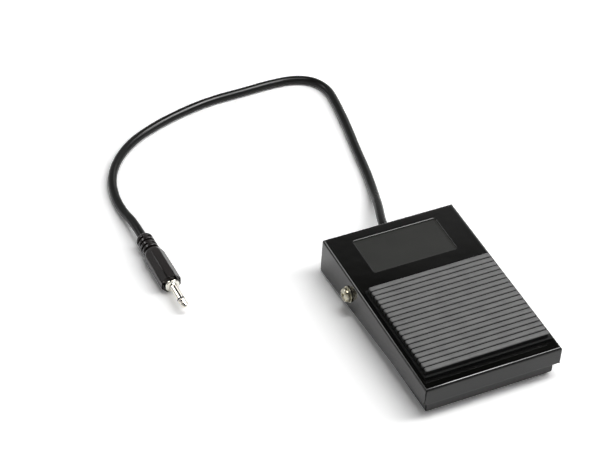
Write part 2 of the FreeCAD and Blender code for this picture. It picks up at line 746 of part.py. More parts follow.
def front_buffers():
    """The buffers that the cover meets at the end of its stroke."""
    made = []
    for x, y in front_buffer_places():
        top = lid_height(y, LID_UNDER, REST_TILT + PRESS_ANGLE) - BUFFER_GAP
        made.append(buffer(x, y, TRAY_FLOOR, top, FRONT_BUFFER_DIAMETER, BUFFER_STEM, TRAY_BOTTOM))
    return Part.makeCompound(made)


def rest_buffers():
    """The buffers on the rear lip that hold the cover at its rest tilt."""
    made = []
    for x, y in rest_buffer_places():
        top = lid_height(y, LID_UNDER, REST_TILT) - BUFFER_GAP
        made.append(buffer(x, y, LIP_TOP, top, REST_BUFFER_DIAMETER, REST_BUFFER_STEM,
                           LIP_TOP - BASE_SHEET))
    return Part.makeCompound(made)


def locating_diameter():
    """The diameter of what stands inside the spring."""
    return SPRING_MEAN_DIAMETER - SPRING_WIRE - POST_CLEARANCE * 2


def spring_post():
    """The post riveted to the tray inside the spring's foot."""
    diameter = locating_diameter()
    profile = [(0, diameter / 2), (POST_STRAIGHT, diameter / 2), (POST_HEIGHT, diameter / 2 * POST_END)]
    body = turned(profile, V(0, SPRING_Y, TRAY_FLOOR), Z_AXIS, SOME_FLATS)
    shank = rod(RIVET_SHANK, V(0, SPRING_Y, TRAY_BOTTOM), V(0, SPRING_Y, TRAY_FLOOR + TRIM), SOME_FLATS)
    return fuse([body, shank])


def least_gap(points, per_turn, diameter):
    """The least gap between the turns of a wound wire, measured on points along it."""
    gap = 1e9
    for i in range(len(points)):
        for j in range(i + per_turn * 3 // 4, len(points)):
            gap = min(gap, points[i].distanceToPoint(points[j]) - diameter)
    return gap


def return_spring():
    """The compression spring, one close turn at each end."""
    radius = SPRING_MEAN_DIAMETER / 2
    low = TRAY_FLOOR + SPRING_WIRE / 2
    reach = radius + SPRING_WIRE / 2
    high = lid_height(SPRING_Y - reach, LID_UNDER, REST_TILT) - SPRING_WIRE / 2 - SPRING_TOP_GAP
    close = SPRING_WIRE + SPRING_DEAD_GAP
    open_pitch = (high - low - close * 2) / SPRING_ACTIVE_TURNS
    turns = SPRING_ACTIVE_TURNS + 2

    def place(turn):
        """The wire's centre after a number of turns, and the way outward and the wire's way there."""
        if turn <= 1:
            height, pitch = low + close * turn, close
        elif turn <= turns - 1:
            height, pitch = low + close + open_pitch * (turn - 1), open_pitch
        else:
            height, pitch = high - close * (turns - turn), close
        angle = 2 * math.pi * turn
        circle = V(math.cos(angle), math.sin(angle), 0)
        direction = V(-circle.y * radius, circle.x * radius, pitch / (2 * math.pi))
        direction.normalize()
        return V(0, SPRING_Y, height).add(circle * radius), circle, direction

    centres = []
    rings = []
    for step in range(turns * SPRING_STEPS + 1):
        centre, outward, direction = place(step / SPRING_STEPS)
        across = direction.cross(outward)
        ring = []
        for k in range(WIRE_SIDES):
            angle = 2 * math.pi * (k + 0.5) / WIRE_SIDES
            ring.append(centre.add((outward * math.cos(angle)).add(across * math.sin(angle))
                                   * (SPRING_WIRE / 2)))
        rings.append(ring)
        centres.append(centre)
    spring = closed_solid(flat_faces(rings, True))
    length = sum(here.distanceToPoint(after) for here, after in zip(centres, centres[1:]))
    print("spring: least gap between turns %.2f mm, volume %.1f of %.1f mm3" % (
        least_gap(centres, SPRING_STEPS, SPRING_WIRE), spring.Volume,
        sided_area(SPRING_WIRE, WIRE_SIDES) * length))
    return spring


def switch_board():
    """The board that carries the switch, with screw holes and pin holes."""
    board = rounded_plate(BOARD_WIDTH / 2, BOARD_FRONT, BOARD_REAR, BOARD_BOTTOM, BOARD_TOP, BOARD_CORNER)
    cuts = []
    for x, y in board_hole_places():
        cuts.append(rod(SMALL_THREAD + FIT * 4, V(x, y, BOARD_BOTTOM - PAST), V(x, y, BOARD_TOP + PAST),
                        FEW_FLATS))
    for y in pin_places():
        cuts.append(rod(PIN_HOLE, V(0, y, BOARD_BOTTOM - PAST), V(0, y, BOARD_TOP + PAST), FEW_FLATS))
    return board.cut(cuts)


def pin_places():
    """The switch's three pins along the case."""
    middle = CASE_REAR - CASE_LENGTH / 2
    return [middle + k * PIN_PITCH for k in (-1, 0, 1)]


def hexagon(across_flats, centre, normal, length):
    """A hexagonal bar from a point along a direction."""
    section = sided_section(across_flats / math.cos(math.pi / 6), 6, centre, normal)
    normal.normalize()
    return Part.Face(section).extrude(normal * length)


def board_spacers():
    """The hexagonal spacers between the tray and the board."""
    made = []
    for x, y in board_hole_places():
        bar = hexagon(SPACER_FLATS, V(x, y, TRAY_FLOOR), V(0, 0, 1), SPACER_HEIGHT)
        made.append(bar.cut(screw_holes([(x, y)], TRAY_FLOOR, BOARD_BOTTOM)))
    return Part.makeCompound(made)


def small_screws(places, seat):
    """Small pan-head screws from a seat down through the tray's floor."""
    made = []
    for x, y in places:
        screw = pan_screw(SMALL_THREAD, SMALL_HEAD, SMALL_HEAD_HEIGHT, seat - TRAY_BOTTOM - FIT, FEW_FLATS)
        screw.translate(V(x, y, seat))
        made.append(screw)
    return Part.makeCompound(made)


def plunger_y():
    """Where the plunger stands along the switch."""
    return LEVER_Y - PLUNGER_FROM_PIN


def switch_base():
    """The switch's lower moulding, which holds its pins."""
    front = CASE_REAR - CASE_LENGTH
    return box(-CASE_WIDTH / 2, CASE_WIDTH / 2, front, CASE_REAR, BOARD_TOP, BOARD_TOP + CASE_BASE)


def switch_case():
    """The switch's upper moulding, with the plunger's bore and the pins that the lever hangs on."""
    front = CASE_REAR - CASE_LENGTH
    half = CASE_WIDTH / 2
    body = rounded_plate(half, front, CASE_REAR, BOARD_TOP + CASE_BASE, CASE_TOP, CASE_EDGE)
    pins = rod(LEVER_PIN, V(-half - LEVER_PIN_OUT, LEVER_Y, LEVER_Z),
               V(half + LEVER_PIN_OUT, LEVER_Y, LEVER_Z), FEW_FLATS)
    bore_end = plunger_bottom() - PLUNGER_TRAVEL - PLUNGER_SPARE
    bore = rod(PLUNGER_DIAMETER + PLUNGER_CLEARANCE * 2, V(0, plunger_y(), bore_end),
               V(0, plunger_y(), CASE_TOP + PAST), SOME_FLATS)
    return fuse([body, pins]).cut(bore)


def lever_under_at(reach, angle):
    """The height of the lever's underside at a distance from its pin, when it is raised by an angle."""
    raised = math.radians(angle)
    return LEVER_Z + reach * math.tan(raised) + LEVER_UNDER / math.cos(raised)


def plunger_top():
    """The plunger's tip at rest, just under the lever."""
    return lever_under_at(PLUNGER_FROM_PIN, LEVER_REST_ANGLE) - PLUNGER_GAP


def plunger_bottom():
    """The plunger's lower end at rest, inside its bore."""
    return CASE_TOP - PLUNGER_DEPTH


def switch_plunger():
    """The plunger with a domed tip."""
    top = plunger_top()
    radius = PLUNGER_DIAMETER / 2
    length = top - plunger_bottom()
    profile = dome_profile(radius, PLUNGER_DOME) + [(length, radius)]
    return turned(profile, V(0, plunger_y(), top), V(0, 0, -1), SOME_FLATS)


def switch_lever():
    """The sheet lever, with two cheeks that hang on the case's pins, raised to its rest angle."""
    inner = CASE_WIDTH / 2 + LEVER_CHEEK_GAP
    outer = inner + LEVER_SHEET
    low = LEVER_UNDER
    high = low + LEVER_SHEET
    tip = -LEVER_ARM - LEVER_TIP
    blade = rounded_plate(LEVER_WIDTH / 2, tip, LEVER_CHEEK, low, high, LEVER_CORNER)
    bridge = box(-outer, outer, -LEVER_CHEEK, LEVER_CHEEK, low, high)
    cheeks = []
    for side in (-1, 1):
        x0, x1 = sorted((side * inner, side * outer))
        cheeks.append(side_prism([(-LEVER_CHEEK, -LEVER_CHEEK_DROP, LEVER_CHEEK_ROUND),
                                  (LEVER_CHEEK, -LEVER_CHEEK_DROP, LEVER_CHEEK_ROUND),
                                  (LEVER_CHEEK, high, 0), (-LEVER_CHEEK, high, 0)], x0, x1))
    lever = fuse([blade, bridge] + cheeks)
    lever = lever.cut(rod(LEVER_PIN + FIT * 2, V(-outer - PAST, 0, 0), V(outer + PAST, 0, 0), FEW_FLATS))
    lever.rotate(V(0, 0, 0), X_AXIS, -LEVER_REST_ANGLE)
    lever.translate(V(0, LEVER_Y, LEVER_Z))
    return lever


def switch_pins():
    """The three pins, each with its cone of solder under the board."""
    made = []
    for y in pin_places():
        blade = box(-PIN_WIDTH / 2, PIN_WIDTH / 2, y - PIN_THICK / 2, y + PIN_THICK / 2,
                    BOARD_TOP - PIN_LENGTH, BOARD_TOP)
        cone = turned([(0, SOLDER_TIP / 2), (SOLDER_HEIGHT, SOLDER_DIAMETER / 2)],
                      V(0, y, BOARD_BOTTOM - SOLDER_HEIGHT), Z_AXIS, FEW_FLATS)
        made.append(fuse([blade, cone]))
    return Part.makeCompound(made)


def clamp_y():
    """The clamp's front and rear faces."""
    rear = REAR_WALL_FACE - CLAMP_FROM_WALL
    return rear - CLAMP_DEPTH, rear


def clamp_groove():
    """The groove that the clamp's two halves share, a hair wider than the cord."""
    front, rear = clamp_y()
    return rod(CORD_DIAMETER + FIT * 2, V(GLAND_X, front - PAST, GLAND_HEIGHT),
               V(GLAND_X, rear + PAST, GLAND_HEIGHT), SOME_FLATS)


def screw_holes(places, low, high):
    """Holes for the small screws, right through from one height to another."""
    return [rod(SMALL_THREAD + FIT * 2, V(x, y, low - PAST), V(x, y, high + PAST), FEW_FLATS)
            for x, y in places]


def clamp_block():
    """The lower half of the cord clamp, which stands on the tray."""
    front, rear = clamp_y()
    block = box(GLAND_X - CLAMP_WIDTH / 2, GLAND_X + CLAMP_WIDTH / 2, front, rear,
                TRAY_FLOOR, GLAND_HEIGHT - CLAMP_GAP)
    holes = screw_holes(clamp_screw_places(), TRAY_FLOOR, GLAND_HEIGHT)
    return block.cut(holes + [clamp_groove()])


def clamp_bar():
    """The upper half of the cord clamp."""
    front, rear = clamp_y()
    top = GLAND_HEIGHT + CLAMP_BAR
    low = GLAND_HEIGHT + CLAMP_GAP
    half = CLAMP_WIDTH / 2
    bar = rounded_plate(half, front, rear, low, top, CLAMP_CORNER)
    bar.translate(V(GLAND_X, 0, 0))
    holes = screw_holes(clamp_screw_places(), low, top)
    return bar.cut(holes + [clamp_groove()])


def cord_gland():
    """The strain relief moulded on the cord, held in the rear wall by a flange on each side."""
    inner = REAR_WALL_FACE - GLAND_FLANGE_THICK
    outer = TRAY_REAR + GLAND_FLANGE_THICK
    neck = GLAND_HOLE / 2 - FIT
    profile = [(0, GLAND_FLANGE / 2), (REAR_WALL_FACE - inner, GLAND_FLANGE / 2),
               (REAR_WALL_FACE - inner, neck), (TRAY_REAR - inner, neck),
               (TRAY_REAR - inner, GLAND_FLANGE / 2),
               (outer - inner, GLAND_FLANGE / 2), (outer - inner, GLAND_ROOT / 2)]
    bands = GLAND_RINGS * 2 + 1
    step = GLAND_SLEEVE / bands
    for band in range(1, bands, 2):
        along = outer - inner + step * band
        radius = GLAND_ROOT / 2 + (GLAND_TIP - GLAND_ROOT) / 2 * band / bands
        groove = radius - GLAND_RING_DEPTH
        profile += [(along, radius), (along, groove), (along + step, groove), (along + step, radius)]
    profile.append((GLAND_TIP_Y - inner, GLAND_TIP / 2))
    return turned(profile, V(GLAND_X, inner, GLAND_HEIGHT), Y_AXIS, SOME_FLATS)


def inner_cord_ends():
    """The cord's inner end, from the strain relief to past the clamp."""
    rear = REAR_WALL_FACE - GLAND_FLANGE_THICK
    return clamp_y()[0] - INNER_CORD_PAST_CLAMP, rear


def cord_inner_end():
    """The stretch of jacket inside the tray."""
    front, rear = inner_cord_ends()
    return rod(CORD_DIAMETER, V(GLAND_X, front, GLAND_HEIGHT), V(GLAND_X, rear, GLAND_HEIGHT), SOME_FLATS)


def sided_ring(diameter, sides, centre, normal):
    """The corners of a regular polygon round a point, square to a direction, on the diameter."""
    corners = []
    turn = FreeCAD.Rotation(Z_AXIS, normal)
    for k in range(sides):
        angle = 2 * math.pi * (k + 0.5) / sides
        corner = V(diameter / 2 * math.cos(angle), diameter / 2 * math.sin(angle), 0)
        corners.append(centre.add(turn.multVec(corner)))
    return corners


def sided_section(diameter, sides, centre, normal):
    """That polygon as a closed wire."""
    corners = sided_ring(diameter, sides, centre, normal)
    return Part.makePolygon(corners + [corners[0]])


def sided_area(diameter, sides):
    """The area of that polygon."""
    return sides * diameter * diameter / 8 * math.sin(2 * math.pi / sides)


def tube_along(points, diameter, sides, name):
    """A tube of straight runs joined by tangent arcs, with a many-sided section."""
    count = len(points)
    last = points[0]
    edges = []
    radii = []
    for i in range(1, count - 1):
        into = points[i].sub(points[i - 1])
        out = points[i + 1].sub(points[i])
        turn = into.getAngle(out)
        reach = TUBE_ROUNDING * min(into.Length, out.Length)
        radii.append(reach / math.tan(turn / 2))
        into.normalize()
        out.normalize()
        start = points[i].sub(into * reach)
        end = points[i].add(out * reach)
        toward = out.sub(into)
        toward.normalize()
        centre = points[i].add(toward * (radii[-1] / math.cos(turn / 2)))
        middle = centre.sub(toward * radii[-1])
        edges.append(Part.LineSegment(last, start).toShape())
        edges.append(Part.Arc(start, middle, end).toShape())
        last = end
    edges.append(Part.LineSegment(last, points[-1]).toShape())
    wire = Part.Wire(edges)
    section = sided_section(diameter, sides, points[0], points[1].sub(points[0]))
    tube = wire.makePipeShell([section], True, False)
    expected = sided_area(diameter, sides) * wire.Length
    print("%s: length %.1f mm, volume %.1f of %.1f mm3, radii %s" % (
        name, wire.Length, tube.Volume, expected, " ".join("%.0f" % radius for radius in radii)))
    return tube


def cord():
    """The free cord, from the strain relief's tip to the plug."""
    points = [V(*place) for place in CORD_ROUTE]
    points[0] = V(GLAND_X, GLAND_TIP_Y, GLAND_HEIGHT)
    points[1] = V(GLAND_X, points[1].y, GLAND_HEIGHT)
    points[-2] = V(PLUG_X, points[-2].y, BODY_FLATS / 2)
    points[-1] = plug_axis_point(0)
    return tube_along(points, CORD_DIAMETER, CORD_SIDES, "cord")


def inner_wires():
    """The two insulated wires from the cord's inner end to the board."""
    front = inner_cord_ends()[0]
    pad_y = BOARD_REAR - WIRE_PAD_FROM_EDGE
    span = front - pad_y
    top = BOARD_TOP + WIRE_DIAMETER / 2
    made = []
    for side in (-1, 1):
        x0 = GLAND_X + side * WIRE_SPACING / 2
        x1 = side * WIRE_PAD_X
        points = [V(x0, front, GLAND_HEIGHT)]
        for forward, across, drop, rise in WIRE_COURSE:
            height = GLAND_HEIGHT + (top - GLAND_HEIGHT) * drop + rise
            points.append(V(x0 + (x1 - x0) * across, front - span * forward, height))
        points.append(V(x1, pad_y, top + FIT))
        made.append(tube_along(points, WIRE_DIAMETER, WIRE_SIDES, "wire"))
    return Part.makeCompound(made)


def plug_axis_point(along):
    """A point on the plug's axis, at a distance from the cord's end."""
    return V(PLUG_X, PLUG_REAR - along, BODY_FLATS / 2)


def plug_body():
    """The moulding: a grooved bend relief and an eight-sided body with rounded edges."""
    half = RELIEF_DIAMETER / 2
    inside = RELIEF_LENGTH + BODY_SHOULDER
    tail = turned([(0, half - RELIEF_ROUND), (RELIEF_ROUND_BAND, half - RELIEF_ROUND_DROP),
                   (RELIEF_ROUND, half), (inside, half)], plug_axis_point(0), V(0, -1, 0), SOME_FLATS)
    first = RELIEF_ROUND + GROOVE_WIDTH
    for k in range(GROOVE_COUNT):
        start = first + k * GROOVE_PITCH
        ring = rod(RELIEF_DIAMETER + PAST, plug_axis_point(start), plug_axis_point(start + GROOVE_WIDTH),
                   SOME_FLATS)
        ring = ring.cut(rod(RELIEF_DIAMETER - GROOVE_DEPTH * 2, plug_axis_point(start - PAST),
                            plug_axis_point(start + GROOVE_WIDTH + PAST), SOME_FLATS))
        centre = plug_axis_point(start + GROOVE_WIDTH / 2)
        wide, tall = (RELIEF_DIAMETER * 2, GROOVE_WEB) if k % 2 else (GROOVE_WEB, RELIEF_DIAMETER * 2)
        web = box(centre.x - wide / 2, centre.x + wide / 2, centre.y - GROOVE_WIDTH,
                  centre.y + GROOVE_WIDTH, centre.z - tall / 2, centre.z + tall / 2)
        tail = tail.cut(ring.cut(web))
    corner = BODY_FLATS / 2 / math.cos(math.pi / 8)
    eight = sided_ring(corner * 2, 8, plug_axis_point(RELIEF_LENGTH), Y_AXIS)
    points = []
    for k in range(8):
        for beside in (eight[k - 1], eight[(k + 1) % 8]):
            toward = beside.sub(eight[k])
            toward.normalize()
            points.append(eight[k].add(toward * BODY_EDGE))
    prism = Part.Face(Part.makePolygon(points + [points[0]])).extrude(V(0, -BODY_LENGTH, 0))
    envelope = turned([(0, half), (BODY_SHOULDER, corner), (BODY_LENGTH - BODY_NOSE, corner),
                       (BODY_LENGTH, corner - BODY_NOSE)],
                      plug_axis_point(RELIEF_LENGTH), V(0, -1, 0), MANY_FLATS)
    return fuse([prism.common(envelope), tail])


def plug_stations():
    """Distances of the metal parts' faces from the cord's end."""
    face = RELIEF_LENGTH + BODY_LENGTH
    collar = face + COLLAR_LENGTH
    sleeve = collar + SLEEVE_LENGTH
    ring = sleeve + RING_LENGTH
    return face, collar, sleeve, ring, ring + TIP_LENGTH


def plug_sleeve():
    """The plug's metal sleeve, with the collar next to the moulding."""
    face, collar, sleeve, ring, tip = plug_stations()
    solid = fuse([rod(COLLAR_DIAMETER, plug_axis_point(face), plug_axis_point(collar), MANY_FLATS),
                  rod(JACK_DIAMETER, plug_axis_point(face), plug_axis_point(sleeve))])
    return solid.cut(rod(SLEEVE_BORE, plug_axis_point(collar), plug_axis_point(sleeve + PAST), FEW_FLATS))


def plug_insulator():
    """The ring between sleeve and tip, with its tube round the core."""
    face, collar, sleeve, ring, tip = plug_stations()
    solid = fuse([rod(JACK_DIAMETER, plug_axis_point(sleeve), plug_axis_point(ring)),
                  rod(SLEEVE_BORE - FIT * 2, plug_axis_point(collar + FIT), plug_axis_point(ring),
                      FEW_FLATS)])
    return solid.cut(rod(CORE_DIAMETER + FIT * 2, plug_axis_point(collar - PAST),
                         plug_axis_point(ring + PAST), FEW_FLATS))


def plug_tip():
    """The pointed tip with its neck, and the core that runs back through the sleeve."""
    face, collar, sleeve, ring, tip = plug_stations()
    full = JACK_DIAMETER / 2
    core = rod(CORE_DIAMETER, plug_axis_point(collar + FIT * 2), plug_axis_point(ring + TRIM), FEW_FLATS)
    band = rod(JACK_DIAMETER, plug_axis_point(ring), plug_axis_point(ring + TIP_BAND))
    profile = [(TIP_BAND - TRIM, full), (TIP_BAND, full)] + list(TIP_BANDS) + [(TIP_LENGTH, TIP_POINT)]
    point = turned(profile, plug_axis_point(ring), V(0, -1, 0), SOME_FLATS)
    return fuse([core, band, point])


def build():
    """Every piece under its node's name."""
    return {
        "pedal_cover": tilted(pedal_cover()),
        "tread_pad": tilted(tread_pad()),
        "label_plate": tilted(label_plate()),
        "press_stud": tilted(press_stud()),
        "spring_stud": tilted(spring_stud()),
        "base_tray": base_tray(),
        "rubber_feet": rubber_feet(),
        "pivot_screws": pivot_screws(),
        "pivot_washers": pivot_washers(),
        "pivot_bushes": pivot_bushes(),
        "pivot_nuts": pivot_nuts(),
        "front_buffers": front_buffers(),
        "rest_buffers": rest_buffers(),
        "spring_post": spring_post(),
        "return_spring": return_spring(),
        "switch_board": switch_board(),
        "board_spacers": board_spacers(),
        "board_screws": small_screws(board_hole_places(), BOARD_TOP),
        "switch_base": switch_base(),
        "switch_case": switch_case(),
        "switch_plunger": switch_plunger(),
        "switch_lever": switch_lever(),
        "switch_pins": switch_pins(),
        "inner_wires": inner_wires(),
        "clamp_block": clamp_block(),
        "clamp_bar": clamp_bar(),
        "clamp_screws": small_screws(clamp_screw_places(), GLAND_HEIGHT + CLAMP_BAR),
        "cord_inner_end": cord_inner_end(),
        "cord_gland": cord_gland(),
        "cord": cord(),
        "plug_body": plug_body(),
        "plug_sleeve": plug_sleeve(),
        "plug_insulator": plug_insulator(),
        "plug_tip": plug_tip(),
    }


os.makedirs("parts", exist_ok=True)
for node, shape in build().items():
    solids = shape.Solids
    print("%s: %d solid(s), valid %s, volume %.1f" % (node, len(solids), shape.isValid(), shape.Volume))
    shape.exportStep("parts/%s.step" % node)
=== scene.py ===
"""The foot pedal switch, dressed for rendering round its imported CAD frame.

Sizes are in millimetres. The pedal's pieces are drawn in the cover's own frame, whose origin is the
pivot axis and whose second axis runs to the rear, and are then set at the cover's rest tilt.
"""
import json
import logging
import math
from dataclasses import dataclass, field
from enum import Enum
from typing import Callable

import bmesh
import bpy
from mathutils import Matrix, Vector


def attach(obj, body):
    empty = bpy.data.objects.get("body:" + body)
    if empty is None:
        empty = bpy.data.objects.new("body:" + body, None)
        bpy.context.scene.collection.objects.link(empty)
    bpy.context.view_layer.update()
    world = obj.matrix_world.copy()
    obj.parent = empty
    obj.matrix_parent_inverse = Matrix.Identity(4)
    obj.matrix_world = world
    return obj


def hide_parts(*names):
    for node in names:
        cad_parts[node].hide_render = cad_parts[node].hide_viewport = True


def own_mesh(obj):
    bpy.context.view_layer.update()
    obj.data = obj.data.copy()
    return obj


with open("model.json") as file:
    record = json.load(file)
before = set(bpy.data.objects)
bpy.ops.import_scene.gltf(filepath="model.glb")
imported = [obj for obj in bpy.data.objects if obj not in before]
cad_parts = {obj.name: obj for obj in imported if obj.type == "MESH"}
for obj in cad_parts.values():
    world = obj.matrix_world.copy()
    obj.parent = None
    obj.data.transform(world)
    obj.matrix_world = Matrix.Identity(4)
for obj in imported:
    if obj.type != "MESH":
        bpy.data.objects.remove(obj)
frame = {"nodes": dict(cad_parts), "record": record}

MM = 0.001
PHOTO_WIDTH_PX = 600
SHARP = math.radians(32)
EDGE_WEIGHT = "bevel_weight_edge"
COAT_ROUGHNESS = 0.06
CLOUD_DETAIL = 3.0
GRAIN_DETAIL = 4.0
CLOUD_EDGES = (0.35, 0.65)
GLOSS_EDGES = (0.3, 0.7)
MIX_FIRST, MIX_SECOND, MIX_RESULT = 6, 7, 2
NORMAL_WEIGHT = 80

Colour = tuple[float, float, float]
Pair = tuple[float, float]
Triple = tuple[float, float, float]
Solid = bmesh.types.BMesh
Piece = bpy.types.Object
Socket = bpy.types.NodeSocket
UP = Vector((0, 0, 1))
UNMOVED = Matrix.Identity(4)

log = logging.getLogger("pedal")


class Side(Enum):
    """The two sides of the pedal, as the sign of x."""

    LEFT = -1
    RIGHT = 1


class Grain(Enum):
    """What the finest relief of a surface is like."""

    PEEL = "the soft waves of sprayed enamel"
    SPECKLE = "the fine random grain of a moulded or rubber surface"
    BRUSHED = "the drawn lines of turned or rolled metal"


class Nodes:
    """A small helper that adds and links shader nodes in one tree."""

    def __init__(self, tree: bpy.types.NodeTree) -> None:
        """Start on a node tree and empty it."""
        self.tree = tree
        tree.nodes.clear()

    def add(self, kind: str, *feeds: Socket, **values: object) -> bpy.types.Node:
        """Add a node, set it and join what feeds it.

        Args:
            kind: the node's type name.
            feeds: the outputs that feed its first inputs, in order.
            values: properties by name, or inputs by name with spaces written as underscores, each with
                its value or with the output that feeds it.

        Returns:
            The new node.
        """
        node = self.tree.nodes.new(kind)
        for name, value in values.items():
            if hasattr(node, name):
                setattr(node, name, value)
            elif isinstance(value, Socket):
                self.link(value, node.inputs[name.replace("_", " ")])
            else:
                node.inputs[name.replace("_", " ")].default_value = value
        for feed, socket in zip(feeds, node.inputs):
            self.link(feed, socket)
        return node

    def link(self, start: Socket, end: Socket) -> None:
        """Join an output to an input."""
        self.tree.links.new(start, end)

    def mix_colour(self, first: Colour, second: Colour, factor: Socket) -> Socket:
        """Mix two colours by a factor.

        Args:
            first: the colour where the factor is 0.
            second: the colour where the factor is 1.
            factor: the socket that gives the factor.

        Returns:
            The colour output.
        """
        ramp = self.add("ShaderNodeValToRGB", Fac=factor)
        ramp.color_ramp.elements[0].color = (*first, 1)
        ramp.color_ramp.elements[1].color = (*second, 1)
        return ramp.outputs["Color"]

    def span(self, source: Socket, low: Pair, high: Pair) -> Socket:
        """Map a range of values to another, clamped at both ends.

        Args:
            source: the socket to read.
            low: the source value and the result at the low end.
            high: the source value and the result at the high end.

        Returns:
            The result's output.
        """
        node = self.add("ShaderNodeMapRange", Value=source, From_Min=low[0], From_Max=high[0],
                        To_Min=low[1], To_Max=high[1])
        return node.outputs["Result"]


@dataclass(frozen=True)
class Finish:
    """A surface finish, made as one procedural material.

    Attributes:
        slot: the record's material slot that it belongs to.
        colour: the main colour.
        tint: the colour that clouds it.
        roughness: the least and the greatest roughness over the surface.
        metallic: 1 for bare metal.
        coat: how strong a clear gloss over it is.
        specular: how strongly it mirrors at right angles.
        cloud: the size of its clouds in millimetres.
        grain: what its finest relief is like.
        grain_size: the size of that relief in millimetres.
        grain_depth: how deep that relief looks in millimetres.
        stretch: how far the relief is drawn out along each axis.
    """

    slot: str
    colour: Colour
    tint: Colour
    roughness: Pair = (0.3, 0.4)
    metallic: float = 0.0
    coat: float = 0.0
    specular: float = 0.5
    cloud: float = 12.0
    grain: Grain = Grain.SPECKLE
    grain_size: float = 0.35
    grain_depth: float = 0.01
    stretch: Triple = (1.0, 1.0, 1.0)

    def material(self) -> bpy.types.Material:
        """Build the material.

        Returns:
            The material, named after its slot.
        """
        made = bpy.data.materials.new(self.slot)
        made.use_nodes = True
        made.diffuse_color = (*self.colour, 1)
        nodes = Nodes(made.node_tree)
        place = nodes.add("ShaderNodeTexCoord").outputs["Object"]
        clouds = self.noise(nodes, place, self.cloud, CLOUD_DETAIL)
        low, high = zip(GLOSS_EDGES, self.roughness)
        shader = nodes.add("ShaderNodeBsdfPrincipled", Base_Color=self.colouring(nodes, place, clouds),
                           Roughness=nodes.span(clouds, low, high), Metallic=self.metallic,
                           Specular_IOR_Level=self.specular, Coat_Weight=self.coat,
                           Coat_Roughness=COAT_ROUGHNESS, Normal=self.relief(nodes, place))
        nodes.add("ShaderNodeOutputMaterial", Surface=shader.outputs["BSDF"])
        return made

    def colouring(self, nodes: Nodes, place: Socket, clouds: Socket) -> Socket:
        """Colour the surface, clouded between its two colours."""
        low, high = zip(CLOUD_EDGES, (0.0, 1.0))
        return nodes.mix_colour(self.colour, self.tint, nodes.span(clouds, low, high))

    def noise(self, nodes: Nodes, place: Socket, size: float, detail: float,
              stretch: Triple = (1.0, 1.0, 1.0)) -> Socket:
        """A noise texture of a size.

        Args:
            nodes: the tree's helper.
            place: the surface's own coordinates, in metres.
            size: the size of its forms in millimetres.
            detail: how many finer layers it has.
            stretch: how far the forms are drawn out along each axis.

        Returns:
            The noise value.
        """
        mapping = nodes.add("ShaderNodeMapping", place, Scale=tuple(1 / share for share in stretch))
        texture = nodes.add("ShaderNodeTexNoise", mapping.outputs["Vector"], Scale=1 / (size * MM),
                            Detail=detail)
        return texture.outputs["Fac"]

    def relief(self, nodes: Nodes, place: Socket) -> Socket:
        """The surface's fine relief.

        Args:
            nodes: the tree's helper.
            place: the surface's own coordinates.

        Returns:
            The normal output.
        """
        detail = 0.0 if self.grain is Grain.PEEL else GRAIN_DETAIL
        height = self.noise(nodes, place, self.grain_size, detail, self.stretch)
        bump = nodes.add("ShaderNodeBump", Strength=1.0, Distance=self.grain_depth * MM, Height=height)
        return bump.outputs["Normal"]


@dataclass(frozen=True)
class TreadFinish(Finish):
    """The tread's black rubber, with the sheen of the lamps painted grey on the crowns of its ribs.

    Attributes:
        crown: the colour of the painted sheen on the crowns.
        crown_tint: the colour that clouds that painted sheen.
        normal: the direction that the pad faces.
        crown_level: how far along that direction the crowns stand, in millimetres.
        groove_level: how far along it the painted sheen ends, in millimetres.
    """

    crown: Colour = (0.2, 0.2, 0.2)
    crown_tint: Colour = (0.24, 0.24, 0.235)
    normal: Triple = (0.0, 0.0, 1.0)
    crown_level: float = 20.0
    groove_level: float = 19.0

    def colouring(self, nodes: Nodes, place: Socket, clouds: Socket) -> Socket:
        """Paint the lamps' sheen grey on the crowns, and colour what lies below them black.

        Args:
            nodes: the tree's helper.
            place: the surface's own coordinates.
            clouds: the cloud texture.

        Returns:
            The colour output.
        """
        reach = nodes.add("ShaderNodeVectorMath", place, operation="DOT_PRODUCT")
        reach.inputs[1].default_value = self.normal
        groove, crown = (self.groove_level * MM, 0.0), (self.crown_level * MM, 1.0)
        mix = nodes.add("ShaderNodeMix", nodes.span(reach.outputs["Value"], groove, crown), data_type="RGBA")
        nodes.link(nodes.mix_colour(self.colour, self.tint, clouds), mix.inputs[MIX_FIRST])
        low, high = zip(CLOUD_EDGES, (0.0, 1.0))
        # Painted sheen: the crowns' grey stands in for the lamps' light mirrored by the black rubber.
        painted_crown_sheen = nodes.mix_colour(self.crown, self.crown_tint, nodes.span(clouds, low, high))
        nodes.link(painted_crown_sheen, mix.inputs[MIX_SECOND])
        return mix.outputs[MIX_RESULT]


@dataclass(frozen=True)
class Tilt:
    """The cover's own frame and how it stands at rest.

    Attributes:
        pivot_y: the pivot axis from the origin, to the rear.
        pivot_z: the pivot axis above the floor.
        angle: the rest tilt in degrees.
    """

    pivot_y: float = 20.6
    pivot_z: float = 9.7
    angle: float = 1.33

    def matrix(self) -> Matrix:
        """The move from the cover's frame to the object's, in millimetres."""
        turn = Matrix.Rotation(math.radians(self.angle), 4, "X")
        return Matrix.Translation((0, self.pivot_y, self.pivot_z)) @ turn

    def normal(self) -> Vector:
        """The direction that the cover's top faces."""
        return self.matrix().to_3x3() @ UP

    def level(self, above_pivot: float) -> float:
        """How far along that direction a level of the cover's frame lies from the origin."""
        return self.normal().dot(self.matrix() @ Vector((0, 0, above_pivot)))


TILT = Tilt()


